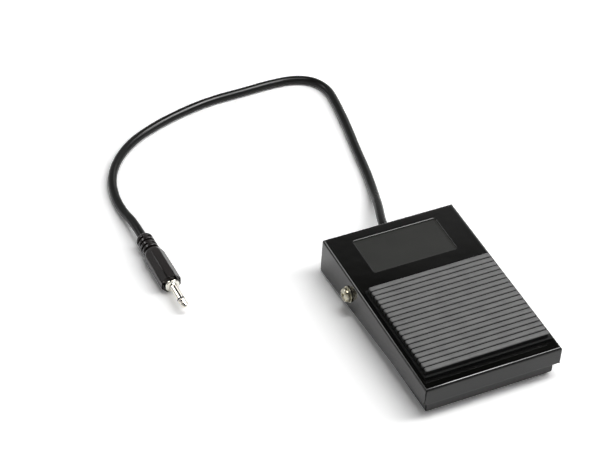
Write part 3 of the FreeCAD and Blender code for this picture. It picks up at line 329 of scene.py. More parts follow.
class Palette:
    """Every finish of the pedal, each built once."""

    def __init__(self) -> None:
        """Build all the materials."""
        steel = (0.55, 0.55, 0.54)
        finishes = [
            Finish("black_paint", (0.003, 0.003, 0.0027), (0.0045, 0.0045, 0.004), roughness=(0.05, 0.09),
                   specular=0.42, cloud=22, grain=Grain.PEEL, grain_size=4.0, grain_depth=0.008),
            TreadFinish("tread_rubber", (0.0035, 0.0035, 0.0035), (0.005, 0.005, 0.005),
                        roughness=(0.42, 0.55), specular=0.1, cloud=7, grain_size=0.3, grain_depth=0.02,
                        # The crown colours are painted sheen of the lamps on the black rubber.
                        crown=(0.147, 0.147, 0.146), crown_tint=(0.179, 0.179, 0.177),
                        normal=tuple(TILT.normal()), crown_level=TILT.level(11.45),
                        groove_level=TILT.level(10.95)),
            Finish("label_plastic", (0.018, 0.0185, 0.0165), (0.021, 0.0215, 0.0192), roughness=(0.5, 0.6),
                   specular=0.15, cloud=9, grain_size=0.25, grain_depth=0.012),
            Finish("foot_rubber", (0.018, 0.018, 0.018), (0.028, 0.028, 0.027), roughness=(0.6, 0.75),
                   cloud=4, grain_size=0.3, grain_depth=0.03),
            Finish("screw_steel", (0.5, 0.45, 0.32), (0.47, 0.46, 0.39), roughness=(0.22, 0.36), metallic=1,
                   cloud=1.6, grain=Grain.BRUSHED, grain_size=0.3, grain_depth=0.006),
            Finish("zinc_steel", steel, (0.62, 0.63, 0.66), roughness=(0.28, 0.42), metallic=1,
                   cloud=2.5, grain=Grain.BRUSHED, grain_size=0.3, grain_depth=0.006),
            Finish("spring_steel", (0.42, 0.42, 0.42), steel, roughness=(0.2, 0.32), metallic=1,
                   cloud=2.5, grain=Grain.BRUSHED, grain_size=0.2, grain_depth=0.004),
            Finish("bush_brass", (0.66, 0.5, 0.22), (0.74, 0.58, 0.3), roughness=(0.22, 0.34), metallic=1,
                   cloud=2.5, grain=Grain.BRUSHED, grain_size=0.2, grain_depth=0.006, stretch=(0.4, 4, 4)),
            Finish("board_laminate", (0.02, 0.12, 0.04), (0.03, 0.15, 0.055), roughness=(0.3, 0.4),
                   coat=0.3, cloud=3, grain_size=0.5, grain_depth=0.008),
            Finish("white_plastic", (0.7, 0.7, 0.66), (0.76, 0.76, 0.72), roughness=(0.4, 0.5),
                   cloud=5, grain_size=0.4, grain_depth=0.01),
            Finish("switch_plastic", (0.02, 0.02, 0.021), (0.028, 0.028, 0.029), roughness=(0.38, 0.5),
                   cloud=4, grain_size=0.25, grain_depth=0.012),
            Finish("plunger_plastic", (0.45, 0.05, 0.035), (0.5, 0.07, 0.05), roughness=(0.25, 0.35),
                   cloud=3, grain_size=0.3, grain_depth=0.005),
            Finish("pin_metal", (0.66, 0.65, 0.62), (0.72, 0.71, 0.69), roughness=(0.25, 0.4), metallic=1,
                   cloud=1.5, grain_size=0.3, grain_depth=0.006),
            Finish("wire_plastic", (0.4, 0.045, 0.035), (0.45, 0.055, 0.04), roughness=(0.3, 0.4),
                   cloud=4, grain_size=0.3, grain_depth=0.004),
            Finish("cord_jacket", (0.006, 0.006, 0.0055), (0.008, 0.008, 0.0075), roughness=(0.2, 0.28),
                   specular=0.2, cloud=14, grain=Grain.PEEL, grain_size=1.2, grain_depth=0.02),
            Finish("plug_moulding", (0.0105, 0.0078, 0.0073), (0.0145, 0.011, 0.0105), roughness=(0.16, 0.24),
                   cloud=8, grain=Grain.PEEL, grain_size=1.6, grain_depth=0.012),
            Finish("plug_metal", (0.74, 0.71, 0.64), (0.78, 0.76, 0.7), roughness=(0.08, 0.16), metallic=1,
                   cloud=2, grain=Grain.BRUSHED, grain_size=0.3, grain_depth=0.003, stretch=(3, 0.5, 3)),
        ]
        self.materials = {finish.slot: finish.material() for finish in finishes}

    def dress(self, piece: Piece, slot: str) -> None:
        """Give a piece the finish of a slot."""
        piece.data.materials.clear()
        piece.data.materials.append(self.materials[slot])


class Mesher:
    """Ways to make closed solids as meshes, in millimetres."""

    @staticmethod
    def arc(steps: int, turn: float = math.pi / 2) -> list[Pair]:
        """The cosine and the sine at each step of a turn, with both its ends."""
        angles = [turn * k / steps for k in range(steps + 1)]
        return [(math.cos(angle), math.sin(angle)) for angle in angles]

    @staticmethod
    def curve(start: Vector, bend: Vector, end: Vector, steps: int) -> list[Vector]:
        """Points along a curve that rounds a corner.

        Args:
            start: where it begins.
            bend: the corner.
            end: where it ends.
            steps: how many parts it has.

        Returns:
            The points, with both ends.
        """
        points = []
        for share in (k / steps for k in range(steps + 1)):
            points.append(start * (1 - share) ** 2 + bend * 2 * share * (1 - share) + end * share ** 2)
        return points

    @staticmethod
    def loop_solid(rings: list[list[Triple]]) -> Solid:
        """Join rings of points, each with as many points, into a closed solid.

        Args:
            rings: the rings in order; the first and the last are closed by a face.

        Returns:
            The solid.
        """
        bm = bmesh.new()
        made = [[bm.verts.new(point) for point in ring] for ring in rings]
        count = len(rings[0])
        for first, second in zip(made, made[1:]):
            for i in range(count):
                j = (i + 1) % count
                bm.faces.new((first[i], first[j], second[j], second[i]))
        bm.faces.new(list(reversed(made[0])))
        bm.faces.new(made[-1])
        bmesh.ops.recalc_face_normals(bm, faces=bm.faces)
        return bm

    @staticmethod
    def prism(points: list[Pair], low: float, high: float, axis: str = "Z") -> Solid:
        """Extrude a closed outline.

        Args:
            points: the outline. For axis X these are (y, z), otherwise (x, y).
            low: where it starts along the axis.
            high: where it ends.
            axis: X or Z.

        Returns:
            The solid.
        """
        if axis == "X":
            return Mesher.loop_solid([[(level, a, b) for a, b in points] for level in (low, high)])
        return Mesher.loop_solid([[(a, b, level) for a, b in points] for level in (low, high)])

    @staticmethod
    def block(low: Triple, high: Triple) -> Solid:
        """A block between two corners."""
        corners = [(low[0], low[1]), (high[0], low[1]), (high[0], high[1]), (low[0], high[1])]
        return Mesher.prism(corners, low[2], high[2])

    @staticmethod
    def turned(profile: list[Pair], start: Triple = (0, 0, 0), axis: Triple = (0, 0, 1),
               steps: int = 48) -> Solid:
        """A solid of revolution.

        Args:
            profile: (distance along the axis, radius) pairs from one end to the other.
            start: the point on the axis at distance 0.
            axis: the axis's direction.
            steps: how many facets go round.

        Returns:
            The solid.
        """
        turn = UP.rotation_difference(Vector(axis)).to_matrix()
        circle = Mesher.arc(steps, 2 * math.pi)[:-1]
        rings = [[tuple(turn @ Vector((radius * x, radius * y, along)) + Vector(start)) for x, y in circle]
                 for along, radius in profile]
        return Mesher.loop_solid(rings)

    @staticmethod
    def rounded(half: float, low: float, high: float, radius: float, steps: int = 6) -> list[Pair]:
        """The outline of a rectangle with round corners, centred on x.

        Args:
            half: half its width.
            low: its front edge.
            high: its rear edge.
            radius: the corners' radius.
            steps: how many facets each corner has.

        Returns:
            The outline's points.
        """
        points = []
        centres = [(half - radius, high - radius), (radius - half, high - radius),
                   (radius - half, low + radius), (half - radius, low + radius)]
        for quarter, (x, y) in enumerate(centres):
            for k in range(steps + 1):
                angle = math.pi / 2 * (quarter + k / steps)
                points.append((x + radius * math.cos(angle), y + radius * math.sin(angle)))
        return points

    @staticmethod
    def piece(name: str, bm: Solid) -> Piece:
        """Turn a solid into an object of the scene.

        Args:
            name: the object's name.
            bm: the solid, which is used up.

        Returns:
            The object, still in millimetres.
        """
        mesh = bpy.data.meshes.new(name)
        bm.to_mesh(mesh)
        bm.free()
        made = bpy.data.objects.new(name, mesh)
        bpy.context.scene.collection.objects.link(made)
        return made

    @staticmethod
    def solid(piece: Piece) -> Solid:
        """Take an object out of the scene and back to a solid.

        Args:
            piece: the object, still in millimetres.

        Returns:
            The solid.
        """
        bm = bmesh.new()
        bm.from_mesh(piece.data)
        bpy.data.objects.remove(piece)
        return bm

    @staticmethod
    def cut(target: Piece, *tools: Solid) -> None:
        """Cut solids out of an object, one after another."""
        for tool in tools:
            Mesher.combine(target, tool, "DIFFERENCE")

    @staticmethod
    def combine(target: Piece, tool: Solid, operation: str) -> None:
        """Cut, add or keep a solid with another, for good.

        Args:
            target: the object that changes.
            tool: the other solid, which is used up.
            operation: DIFFERENCE, UNION or INTERSECT.
        """
        other = Mesher.piece("tool", tool)
        modifier = target.modifiers.new("combine", "BOOLEAN")
        modifier.operation = operation
        modifier.solver = "EXACT"
        modifier.object = other
        bpy.context.view_layer.update()
        result = bpy.data.meshes.new_from_object(target.evaluated_get(bpy.context.evaluated_depsgraph_get()))
        target.modifiers.clear()
        target.data = result
        mesh = other.data
        bpy.data.objects.remove(other)
        bpy.data.meshes.remove(mesh)

    @staticmethod
    def weigh_edges(piece: Piece, share: Callable[[Vector, Vector], float]) -> None:
        """Mark how wide each sharp edge of a piece is to be broken.

        Args:
            piece: the object, still in millimetres.
            share: gives the share of the full width for an edge between two points.
        """
        bm = bmesh.new()
        bm.from_mesh(piece.data)
        layer = bm.edges.layers.float.new(EDGE_WEIGHT)
        for edge in bm.edges:
            if len(edge.link_faces) == 2 and edge.calc_face_angle() > SHARP:
                edge[layer] = share(edge.verts[0].co, edge.verts[1].co)
        bm.to_mesh(piece.data)
        bm.free()


@dataclass
class SubAssembly:
    """A group of pieces that ride on one CAD body.

    Attributes:
        palette: the finishes.
        body: the body that its pieces ride on.
    """

    palette: Palette
    body: str = "base"

    def keep(self, piece: Piece, slot: str, *nodes: str) -> Piece:
        """Dress a piece, set it on its body and let it stand for CAD nodes.

        Args:
            piece: the finished object.
            slot: its material slot.
            nodes: the CAD nodes that it replaces.

        Returns:
            The same object.
        """
        self.palette.dress(piece, slot)
        if nodes:
            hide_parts(*nodes)
        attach(piece, self.body)
        log.info("%s rides on %s in %s", piece.name, self.body, slot)
        return piece

    def settle(self, piece: Piece, slot: str, node: str, move: Matrix = UNMOVED, edge: float = 0.0,
               segments: int = 2) -> Piece:
        """Move a piece to its place in metres, break its sharp edges, shade it smooth and keep it.

        Args:
            piece: the object, still in millimetres.
            slot: its material slot.
            node: the CAD node that it replaces.
            move: the move to the object's frame, in millimetres.
            edge: how wide the broken edges are in millimetres, or 0 for none.
            segments: how many facets an edge gets.

        Returns:
            The same object.
        """
        piece.data.transform(Matrix.Scale(MM, 4) @ move)
        piece.data.shade_smooth()
        if edge:
            bevel = piece.modifiers.new("edges", "BEVEL")
            bevel.width = edge * MM
            bevel.segments = segments
            bevel.limit_method = "WEIGHT" if EDGE_WEIGHT in piece.data.attributes else "ANGLE"
            bevel.angle_limit = SHARP
            bevel.use_clamp_overlap = False
            bevel.miter_outer = "MITER_ARC"
        normals = piece.modifiers.new("normals", "WEIGHTED_NORMAL")
        normals.keep_sharp = True
        normals.weight = NORMAL_WEIGHT
        return self.keep(piece, slot, node)


@dataclass
class PedalCover(SubAssembly):
    """The folded steel cover with its label recess."""

    body: str = "pedal"
    half: float = 31.0
    front: float = -68.0
    rear: float = 26.8
    top: float = 7.9
    sheet: float = 1.2
    bend: float = 1.3
    bend_steps: int = 8
    skirt_front: float = -0.6
    skirt_rear: float = -9.5
    rear_flange: float = 5.0
    front_corner: float = 1.0
    front_steps: int = 6
    rear_corner: float = 2.2
    rear_steps: int = 8
    slit: float = 0.35
    slit_roof: float = 0.45
    seam_turn: float = 45.0
    hole: float = 5.1
    recess_half: float = 19.5
    recess_front: float = 0.3
    recess_length: float = 20.6
    recess_depth: float = 0.8
    recess_corner: float = 0.8
    rim_round: float = 0.35
    rim_steps: int = 4
    press_wall: float = 1.0
    edge: float = 0.24
    fine_edge: float = 0.12
    edge_facets: int = 3
    seam_reach: float = 0.5
    past: float = 4.0

    def shell(self, inset: float, bend: float) -> Solid:
        """A box with bent upper edges, open for more depth below.

        Args:
            inset: how far it lies inside the outer faces.
            bend: the radius of its upper edges.

        Returns:
            The solid.
        """
        rings = [self.ring(inset, self.skirt_rear - self.past)]
        for cosine, sine in Mesher.arc(self.bend_steps):
            rings.append(self.ring(inset + bend * (1 - cosine), self.top - inset - bend * (1 - sine)))
        return Mesher.loop_solid(rings)

    def ring(self, inset: float, level: float) -> list[Triple]:
        """A rectangle inside the outer faces at a level."""
        x, front, rear = self.half - inset, self.front + inset, self.rear - inset
        return [(x, front, level), (x, rear, level), (-x, rear, level), (-x, front, level)]

    def side_view(self) -> Solid:
        """The tapering side, seen from the left, as a solid across the cover.

        Returns:
            The solid.
        """
        slope = (self.skirt_rear - self.skirt_front) / (self.rear - self.front)
        start = Vector((self.rear - self.rear_corner, self.skirt_rear - slope * self.rear_corner))
        corner = Vector((self.rear, self.skirt_rear))
        end = Vector((self.rear, self.skirt_rear + self.rear_corner))
        points = [(self.front, self.top + self.past), (self.front, self.skirt_front),
                  *Mesher.curve(start, corner, end, self.rear_steps), (self.rear, self.top + self.past)]
        return Mesher.prism(points, -self.half - self.past, self.half + self.past, "X")

    def corner_tools(self) -> list[Solid]:
        """What cuts the open seams at the four corners.

        Returns:
            The solids.
        """
        tools = []
        reach = self.sheet * 2
        for side in Side:
            for end, way in ((self.front, -1), (self.rear, 1)):
                blade = Mesher.block((-reach, -self.slit / 2, self.skirt_rear - self.past),
                                     (reach, self.slit / 2, self.top - self.slit_roof))
                turn = Matrix.Rotation(math.radians(self.seam_turn * side.value * way), 4, "Z")
                blade.transform(Matrix.Translation((side.value * self.half, end, 0)) @ turn)
                tools.append(blade)
        return tools

    def front_corner_tool(self, side: Side) -> Solid:
        """What rounds a lower corner of the front flange.

        Args:
            side: left or right.

        Returns:
            The solid.
        """
        radius = self.front_corner
        points = [(self.half + self.past, self.skirt_front - self.past),
                  (self.half - radius, self.skirt_front - self.past)]
        for cosine, sine in Mesher.arc(self.front_steps):
            points.append((self.half - radius + radius * sine, self.skirt_front + radius - radius * cosine))
        points.append((self.half + self.past, self.skirt_front + radius))
        rings = [[(side.value * x, y, z) for x, z in points]
                 for y in (self.front - self.past, self.front + self.sheet)]
        return Mesher.loop_solid(rings)

    def hollow(self) -> Solid:
        """What presses the recess, flaring at the top so that the rim is round.

        Returns:
            The solid.
        """
        flares = [(0.0, self.top - self.recess_depth)]
        for cosine, sine in Mesher.arc(self.rim_steps):
            flares.append((self.rim_round * (1 - cosine), self.top - self.rim_round * (1 - sine)))
        flares.append((self.rim_round, self.top + self.past))
        rings = [[(x, y, level) for x, y in self.recess_outline(flare)] for flare, level in flares]
        return Mesher.loop_solid(rings)

    def recess_outline(self, out: float) -> list[Pair]:
        """The recess seen from above, grown by a distance."""
        rear = self.recess_front + self.recess_length + out
        return Mesher.rounded(self.recess_half + out, self.recess_front - out, rear, self.recess_corner + out)

    def edge_share(self, first: Vector, second: Vector) -> float:
        """How wide an edge is broken, which is widest down the seams and along the front hem.

        Args:
            first: one end of the edge.
            second: its other end.

        Returns:
            The share of the widest.
        """
        middle = (first + second) / 2
        from_end = min(middle.y - self.front, self.rear - middle.y)
        seam = self.half - abs(middle.x) < self.seam_reach and from_end < self.seam_reach
        hem = (max(first.y, second.y) < self.front + self.sheet / 2
               and max(first.z, second.z) < self.skirt_front + self.front_corner + self.slit)
        if hem or seam and abs(first.z - second.z) > self.sheet:
            return 1.0
        return self.fine_edge / self.edge

    def build(self) -> None:
        """Fold the cover, press its recess and cut its seams and holes."""
        cover = Mesher.piece("cover_sheet", self.shell(0, self.bend))
        Mesher.cut(cover, self.shell(self.sheet, self.bend - self.sheet))
        Mesher.combine(cover, self.side_view(), "INTERSECT")
        under = self.top - self.sheet
        press = Mesher.prism(self.recess_outline(self.press_wall), under - self.recess_depth,
                             under + self.sheet / 2)
        Mesher.combine(cover, press, "UNION")
        inside = self.half - self.sheet
        opening = Mesher.block((-inside, self.rear - self.past, self.skirt_rear - self.past),
                               (inside, self.rear + self.past, self.top - self.rear_flange))
        corners = [self.front_corner_tool(side) for side in Side]
        bore = Mesher.turned([(0, self.hole / 2), (self.half * 2 + self.past, self.hole / 2)],
                             (-self.half - self.past / 2, 0, 0), (1, 0, 0))
        Mesher.cut(cover, self.hollow(), opening, *self.corner_tools(), *corners, bore)
        Mesher.weigh_edges(cover, self.edge_share)
        self.settle(cover, "black_paint", "pedal_cover", TILT.matrix(), self.edge, self.edge_facets)


@dataclass
class LabelPlate(SubAssembly):
    """The blank plate in the cover's recess."""

    body: str = "pedal"
    half: float = 19.45
    front: float = 0.35
    rear: float = 20.85
    floor: float = 7.1
    thick: float = 0.25
    lip: float = 0.12
    lip_width: float = 0.7
    corner: float = 0.75
    edge: float = 0.05
    past: float = 1.0

    def build(self) -> None:
        """Make the plate with its raised border."""
        outline = Mesher.rounded(self.half, self.front, self.rear, self.corner)
        top = self.floor + self.thick + self.lip
        plate = Mesher.piece("label_blank", Mesher.prism(outline, self.floor, top))
        width = self.lip_width
        inner = Mesher.rounded(self.half - width, self.front + width, self.rear - width, self.corner / 2)
        sunk = Mesher.prism(inner, self.floor + self.thick, self.floor + self.past)
        Mesher.cut(plate, sunk)
        self.settle(plate, "label_plastic", "label_plate", TILT.matrix(), self.edge)


@dataclass
class TreadPad(SubAssembly):
    """The ribbed rubber pad."""

    body: str = "pedal"
    ribs: int = 19
    pitch: float = 2.73
    groove: float = 0.33
    half: float = 28.0
    first: float = -61.75
    base: float = 7.9
    sheet: float = 1.4
    groove_floor: float = 0.25
    height: float = 3.8
    crown_rise: float = 0.8
    crown_power: float = 2.6
    crown_steps: int = 12
    side_margin: float = 0.9
    front_margin: float = 0.85
    rear_margin: float = 0.5
    rib_end: float = 0.7
    end_steps: int = 5
    edge: float = 0.14

    def profile(self, inset: float) -> list[Pair]:
        """The ribs seen from the side, with flattened round crowns.

        Args:
            inset: how far the ribs lie inside their full outline.

        Returns:
            The outline's points.
        """
        half = (self.pitch - self.groove) / 2 - inset
        floor = self.base + self.sheet + self.groove_floor
        crown = self.base + self.height - inset
        points = [(self.first + self.pitch / 2 - half, self.base + self.sheet / 2)]
        for rib in range(self.ribs):
            centre = self.first + (rib + 0.5) * self.pitch
            if rib:
                points.append((centre - half, floor))
            for cosine, sine in Mesher.arc(self.crown_steps, math.pi):
                across = math.copysign(abs(cosine) ** (2 / self.crown_power), -cosine)
                rise = abs(sine) ** (2 / self.crown_power)
                points.append((centre + half * across, crown - self.crown_rise * (1 - rise)))
            if rib < self.ribs - 1:
                points.append((centre + half, floor))
        last = self.first + (self.ribs - 0.5) * self.pitch + half
        points.append((last, self.base + self.sheet / 2))
        return points

    def comb(self) -> Solid:
        """All the ribs as one solid, whose ends are rounded.

        Returns:
            The solid.
        """
        ends = [(self.half - self.rib_end * (1 - sine), self.rib_end * (1 - cosine))
                for cosine, sine in Mesher.arc(self.end_steps)]
        levels = [(-x, inset) for x, inset in reversed(ends)] + ends
        return Mesher.loop_solid([[(x, y, z) for y, z in self.profile(inset)] for x, inset in levels])

    def build(self) -> None:
        """Make the sheet and the ribs on it as one pad."""
        rear = self.first + self.ribs * self.pitch
        sheet = Mesher.block((-self.half - self.side_margin, self.first - self.front_margin, self.base),
                             (self.half + self.side_margin, rear + self.rear_margin, self.base + self.sheet))
        pad = Mesher.piece("tread_ribs", self.comb())
        Mesher.combine(pad, sheet, "UNION")
        self.settle(pad, "tread_rubber", "tread_pad", TILT.matrix(), self.edge)


@dataclass
class PivotHardware(SubAssembly):
    """The pan-head screws and washers that the pedal turns on."""

    head: float = 6.2
    height: float = 2.3
    seat: float = 31.65
    washer: float = 7.2
    washer_bore: float = 3.1
    washer_thick: float = 0.5
    thread: float = 3.0
    pitch: float = 0.5
    thread_end: float = 24.8
    recess_width: float = 3.5
    recess_arm: float = 0.92
    recess_depth: float = 1.3
    recess_tip: float = 0.45
    recess_mouth: float = 1.15
    recess_turn: float = 24.0
    head_chamfer: float = 0.12
    side_share: float = 0.36
    flat_share: float = 0.42
    dome_power: float = 0.8
    dome_steps: int = 8
    lead_in: float = 0.3
    thread_depth: float = 0.16
    thread_steps: int = 24
    washer_chamfer: float = 0.06
    head_edge: float = 0.06
    washer_edge: float = 0.04
    overlap: float = 0.01
    past: float = 1.0

    def pan_profile(self) -> list[Pair]:
        """The head from its underside to its crown.

        Returns:
            (height, radius) pairs.
        """
        half = self.head / 2
        chamfer = self.head_chamfer
        points = [(0.0, half - chamfer), (chamfer, half), (self.height * self.side_share, half)]
        for cosine, sine in Mesher.arc(self.dome_steps)[1:]:
            rise = self.height * (self.side_share + (1 - self.side_share) * sine)
            dome = (1 - self.flat_share) * cosine ** self.dome_power
            points.append((rise, half * (self.flat_share + dome)))
        return points

    def thread_profile(self, length: float) -> list[Pair]:
        """A threaded shank, drawn as rings.

        Args:
            length: how long it is.

        Returns:
            (distance, radius) pairs.
        """
        outer = self.thread / 2
        points = [(0.0, outer - self.lead_in)]
        along = self.lead_in
        while along < length - self.pitch:
            points += [(along, outer), (along + self.pitch / 2, outer - self.thread_depth)]
            along += self.pitch
        points.append((length, outer))
        return points

    def recess_blade(self, across: bool) -> Solid:
        """One blade of the cross recess, tapering to its depth.

        Args:
            across: whether it lies across the other blade.

        Returns:
            The solid, at the origin with the recess going down from z = 0.
        """
        rings = []
        levels = ((-self.recess_depth, self.recess_tip), (0.0, 1.0), (self.past, self.recess_mouth))
        for level, share in levels:
            a, b = self.recess_width / 2 * share, self.recess_arm / 2
            if across:
                a, b = b, a
            rings.append([(a, -b, level), (a, b, level), (-a, b, level), (-a, -b, level)])
        return Mesher.loop_solid(rings)

    def build(self) -> None:
        """Make a screw and a washer for each side."""
        for side in Side:
            word = side.name.lower()
            seat = (side.value * self.seat, TILT.pivot_y, TILT.pivot_z)
            outward = UP.rotation_difference(Vector((side.value, 0, 0))).to_matrix().to_4x4()
            stand = Matrix.Translation(seat) @ outward
            screw = Mesher.piece("pivot_screw_" + word, Mesher.turned(self.pan_profile()))
            turn = Matrix.Rotation(math.radians(self.recess_turn * side.value), 4, "Z")
            for across in (False, True):
                blade = self.recess_blade(across)
                blade.transform(Matrix.Translation((0, 0, self.height)) @ turn)
                Mesher.cut(screw, blade)
            length = self.seat - self.thread_end + self.overlap
            start = (0, 0, -length + self.overlap)
            shank = Mesher.turned(self.thread_profile(length), start, steps=self.thread_steps)
            Mesher.combine(screw, shank, "UNION")
            self.settle(screw, "screw_steel", "pivot_screws", stand, self.head_edge)
            self.build_washer(word, stand)

    def build_washer(self, word: str, stand: Matrix) -> None:
        """Make the washer under one head.

        Args:
            word: the side's name.
            stand: the move from the screw's own frame.
        """
        half, chamfer, thick = self.washer / 2, self.washer_chamfer, self.washer_thick
        ring = [(-thick, half - chamfer), (-thick + chamfer, half), (-chamfer, half), (0.0, half - chamfer)]
        washer = Mesher.piece("pivot_washer_" + word, Mesher.turned(ring))
        reach = self.past * 2
        Mesher.cut(washer, Mesher.turned([(-reach, self.washer_bore / 2), (reach, self.washer_bore / 2)]))
        self.settle(washer, "screw_steel", "pivot_washers", stand, self.washer_edge)


@dataclass
class ReturnSpring(SubAssembly):
    """The compression spring under the cover's front half."""

    y: float = -25.0
    foot: float = 1.8
    mean: float = 8.0
    wire: float = 0.9
    head: float = 15.2
    dead_gap: float = 0.45
    active: int = 4
    travel: float = 3.03
    per_turn: int = 40
    sides: int = 12
    probe: float = 0.01

    def centre(self, turn: float) -> Vector:
        """The wire's centre after a number of turns.

        Args:
            turn: the turns from the foot.

        Returns:
            The point.
        """
        low, high = self.foot + self.wire / 2, self.head - self.wire / 2
        close = self.wire + self.dead_gap
        pitch = (high - low - close * 2) / self.active
        turns = self.active + 2
        if turn <= 1:
            level = low + close * turn
        elif turn <= turns - 1:
            level = low + close + pitch * (turn - 1)
        else:
            level = high - close * (turns - turn)
        angle = 2 * math.pi * turn
        return Vector((self.mean / 2 * math.cos(angle), self.y + self.mean / 2 * math.sin(angle), level))

    def build(self) -> None:
        """Wind the spring."""
        turns = self.active + 2
        count = turns * self.per_turn
        rings = []
        for k in range(count + 1):
            turn = k / self.per_turn
            here = self.centre(turn)
            after, before = min(turn + self.probe, turns), max(turn - self.probe, 0)
            ahead = (self.centre(after) - self.centre(before)).normalized()
            across = Vector((math.cos(2 * math.pi * turn), math.sin(2 * math.pi * turn), 0))
            up = ahead.cross(across)
            rings.append([tuple(here + (across * cosine + up * sine) * self.wire / 2)
                          for cosine, sine in Mesher.arc(self.sides, 2 * math.pi)[:-1]])
        spring = Mesher.piece("spring_coil", Mesher.loop_solid(rings))
        self.settle(spring, "spring_steel", "return_spring")
        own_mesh(spring)


@dataclass
class StrainRelief(SubAssembly):
    """The ringed sleeve where the cord leaves the rear wall."""

    x: float = 2.6
    z: float = 8.5
    inner: float = 42.6
    wall_in: float = 43.8
    wall_out: float = 45.0
    outer: float = 46.2
    tip_y: float = 54.2
    flange: float = 7.2
    neck: float = 5.9
    root: float = 6.6
    tip: float = 5.0
    rings: int = 3
    ring_depth: float = 0.5
    edge: float = 0.18
    fine_edge: float = 0.05

    def profile(self) -> list[Pair]:
        """The relief from its inner flange to its tip.

        Returns:
            (distance, radius) pairs.
        """
        flange, neck = self.flange / 2, self.neck / 2
        near, far, out = (y - self.inner for y in (self.wall_in, self.wall_out, self.outer))
        points = [(0.0, flange - self.edge), (self.edge, flange), (near, flange), (near, neck), (far, neck),
                  (far, flange), (out - self.edge, flange), (out, flange - self.edge), (out, self.root / 2)]
        bands = self.rings * 2 + 1
        step = (self.tip_y - self.outer) / bands
        for band in range(1, bands, 2):
            along = out + step * band
            radius = (self.root + (self.tip - self.root) * band / bands) / 2
            groove = radius - self.ring_depth
            points += [(along - self.edge, radius), (along, radius - self.edge), (along, groove),
                       (along + step, groove), (along + step, radius - self.edge),
                       (along + step + self.edge, radius)]
        end = self.tip_y - self.inner
        points += [(end - self.edge * 2, self.tip / 2), (end, self.tip / 2 - self.edge * 2)]
        return points

    def build(self) -> Piece:
        """Make the relief.

        Returns:
            The piece, which goes with the cord.
        """
        bm = Mesher.turned(self.profile(), (self.x, self.inner, self.z), (0, 1, 0))
        relief = Mesher.piece("strain_relief", bm)
        return self.settle(relief, "cord_jacket", "cord_gland", edge=self.fine_edge)


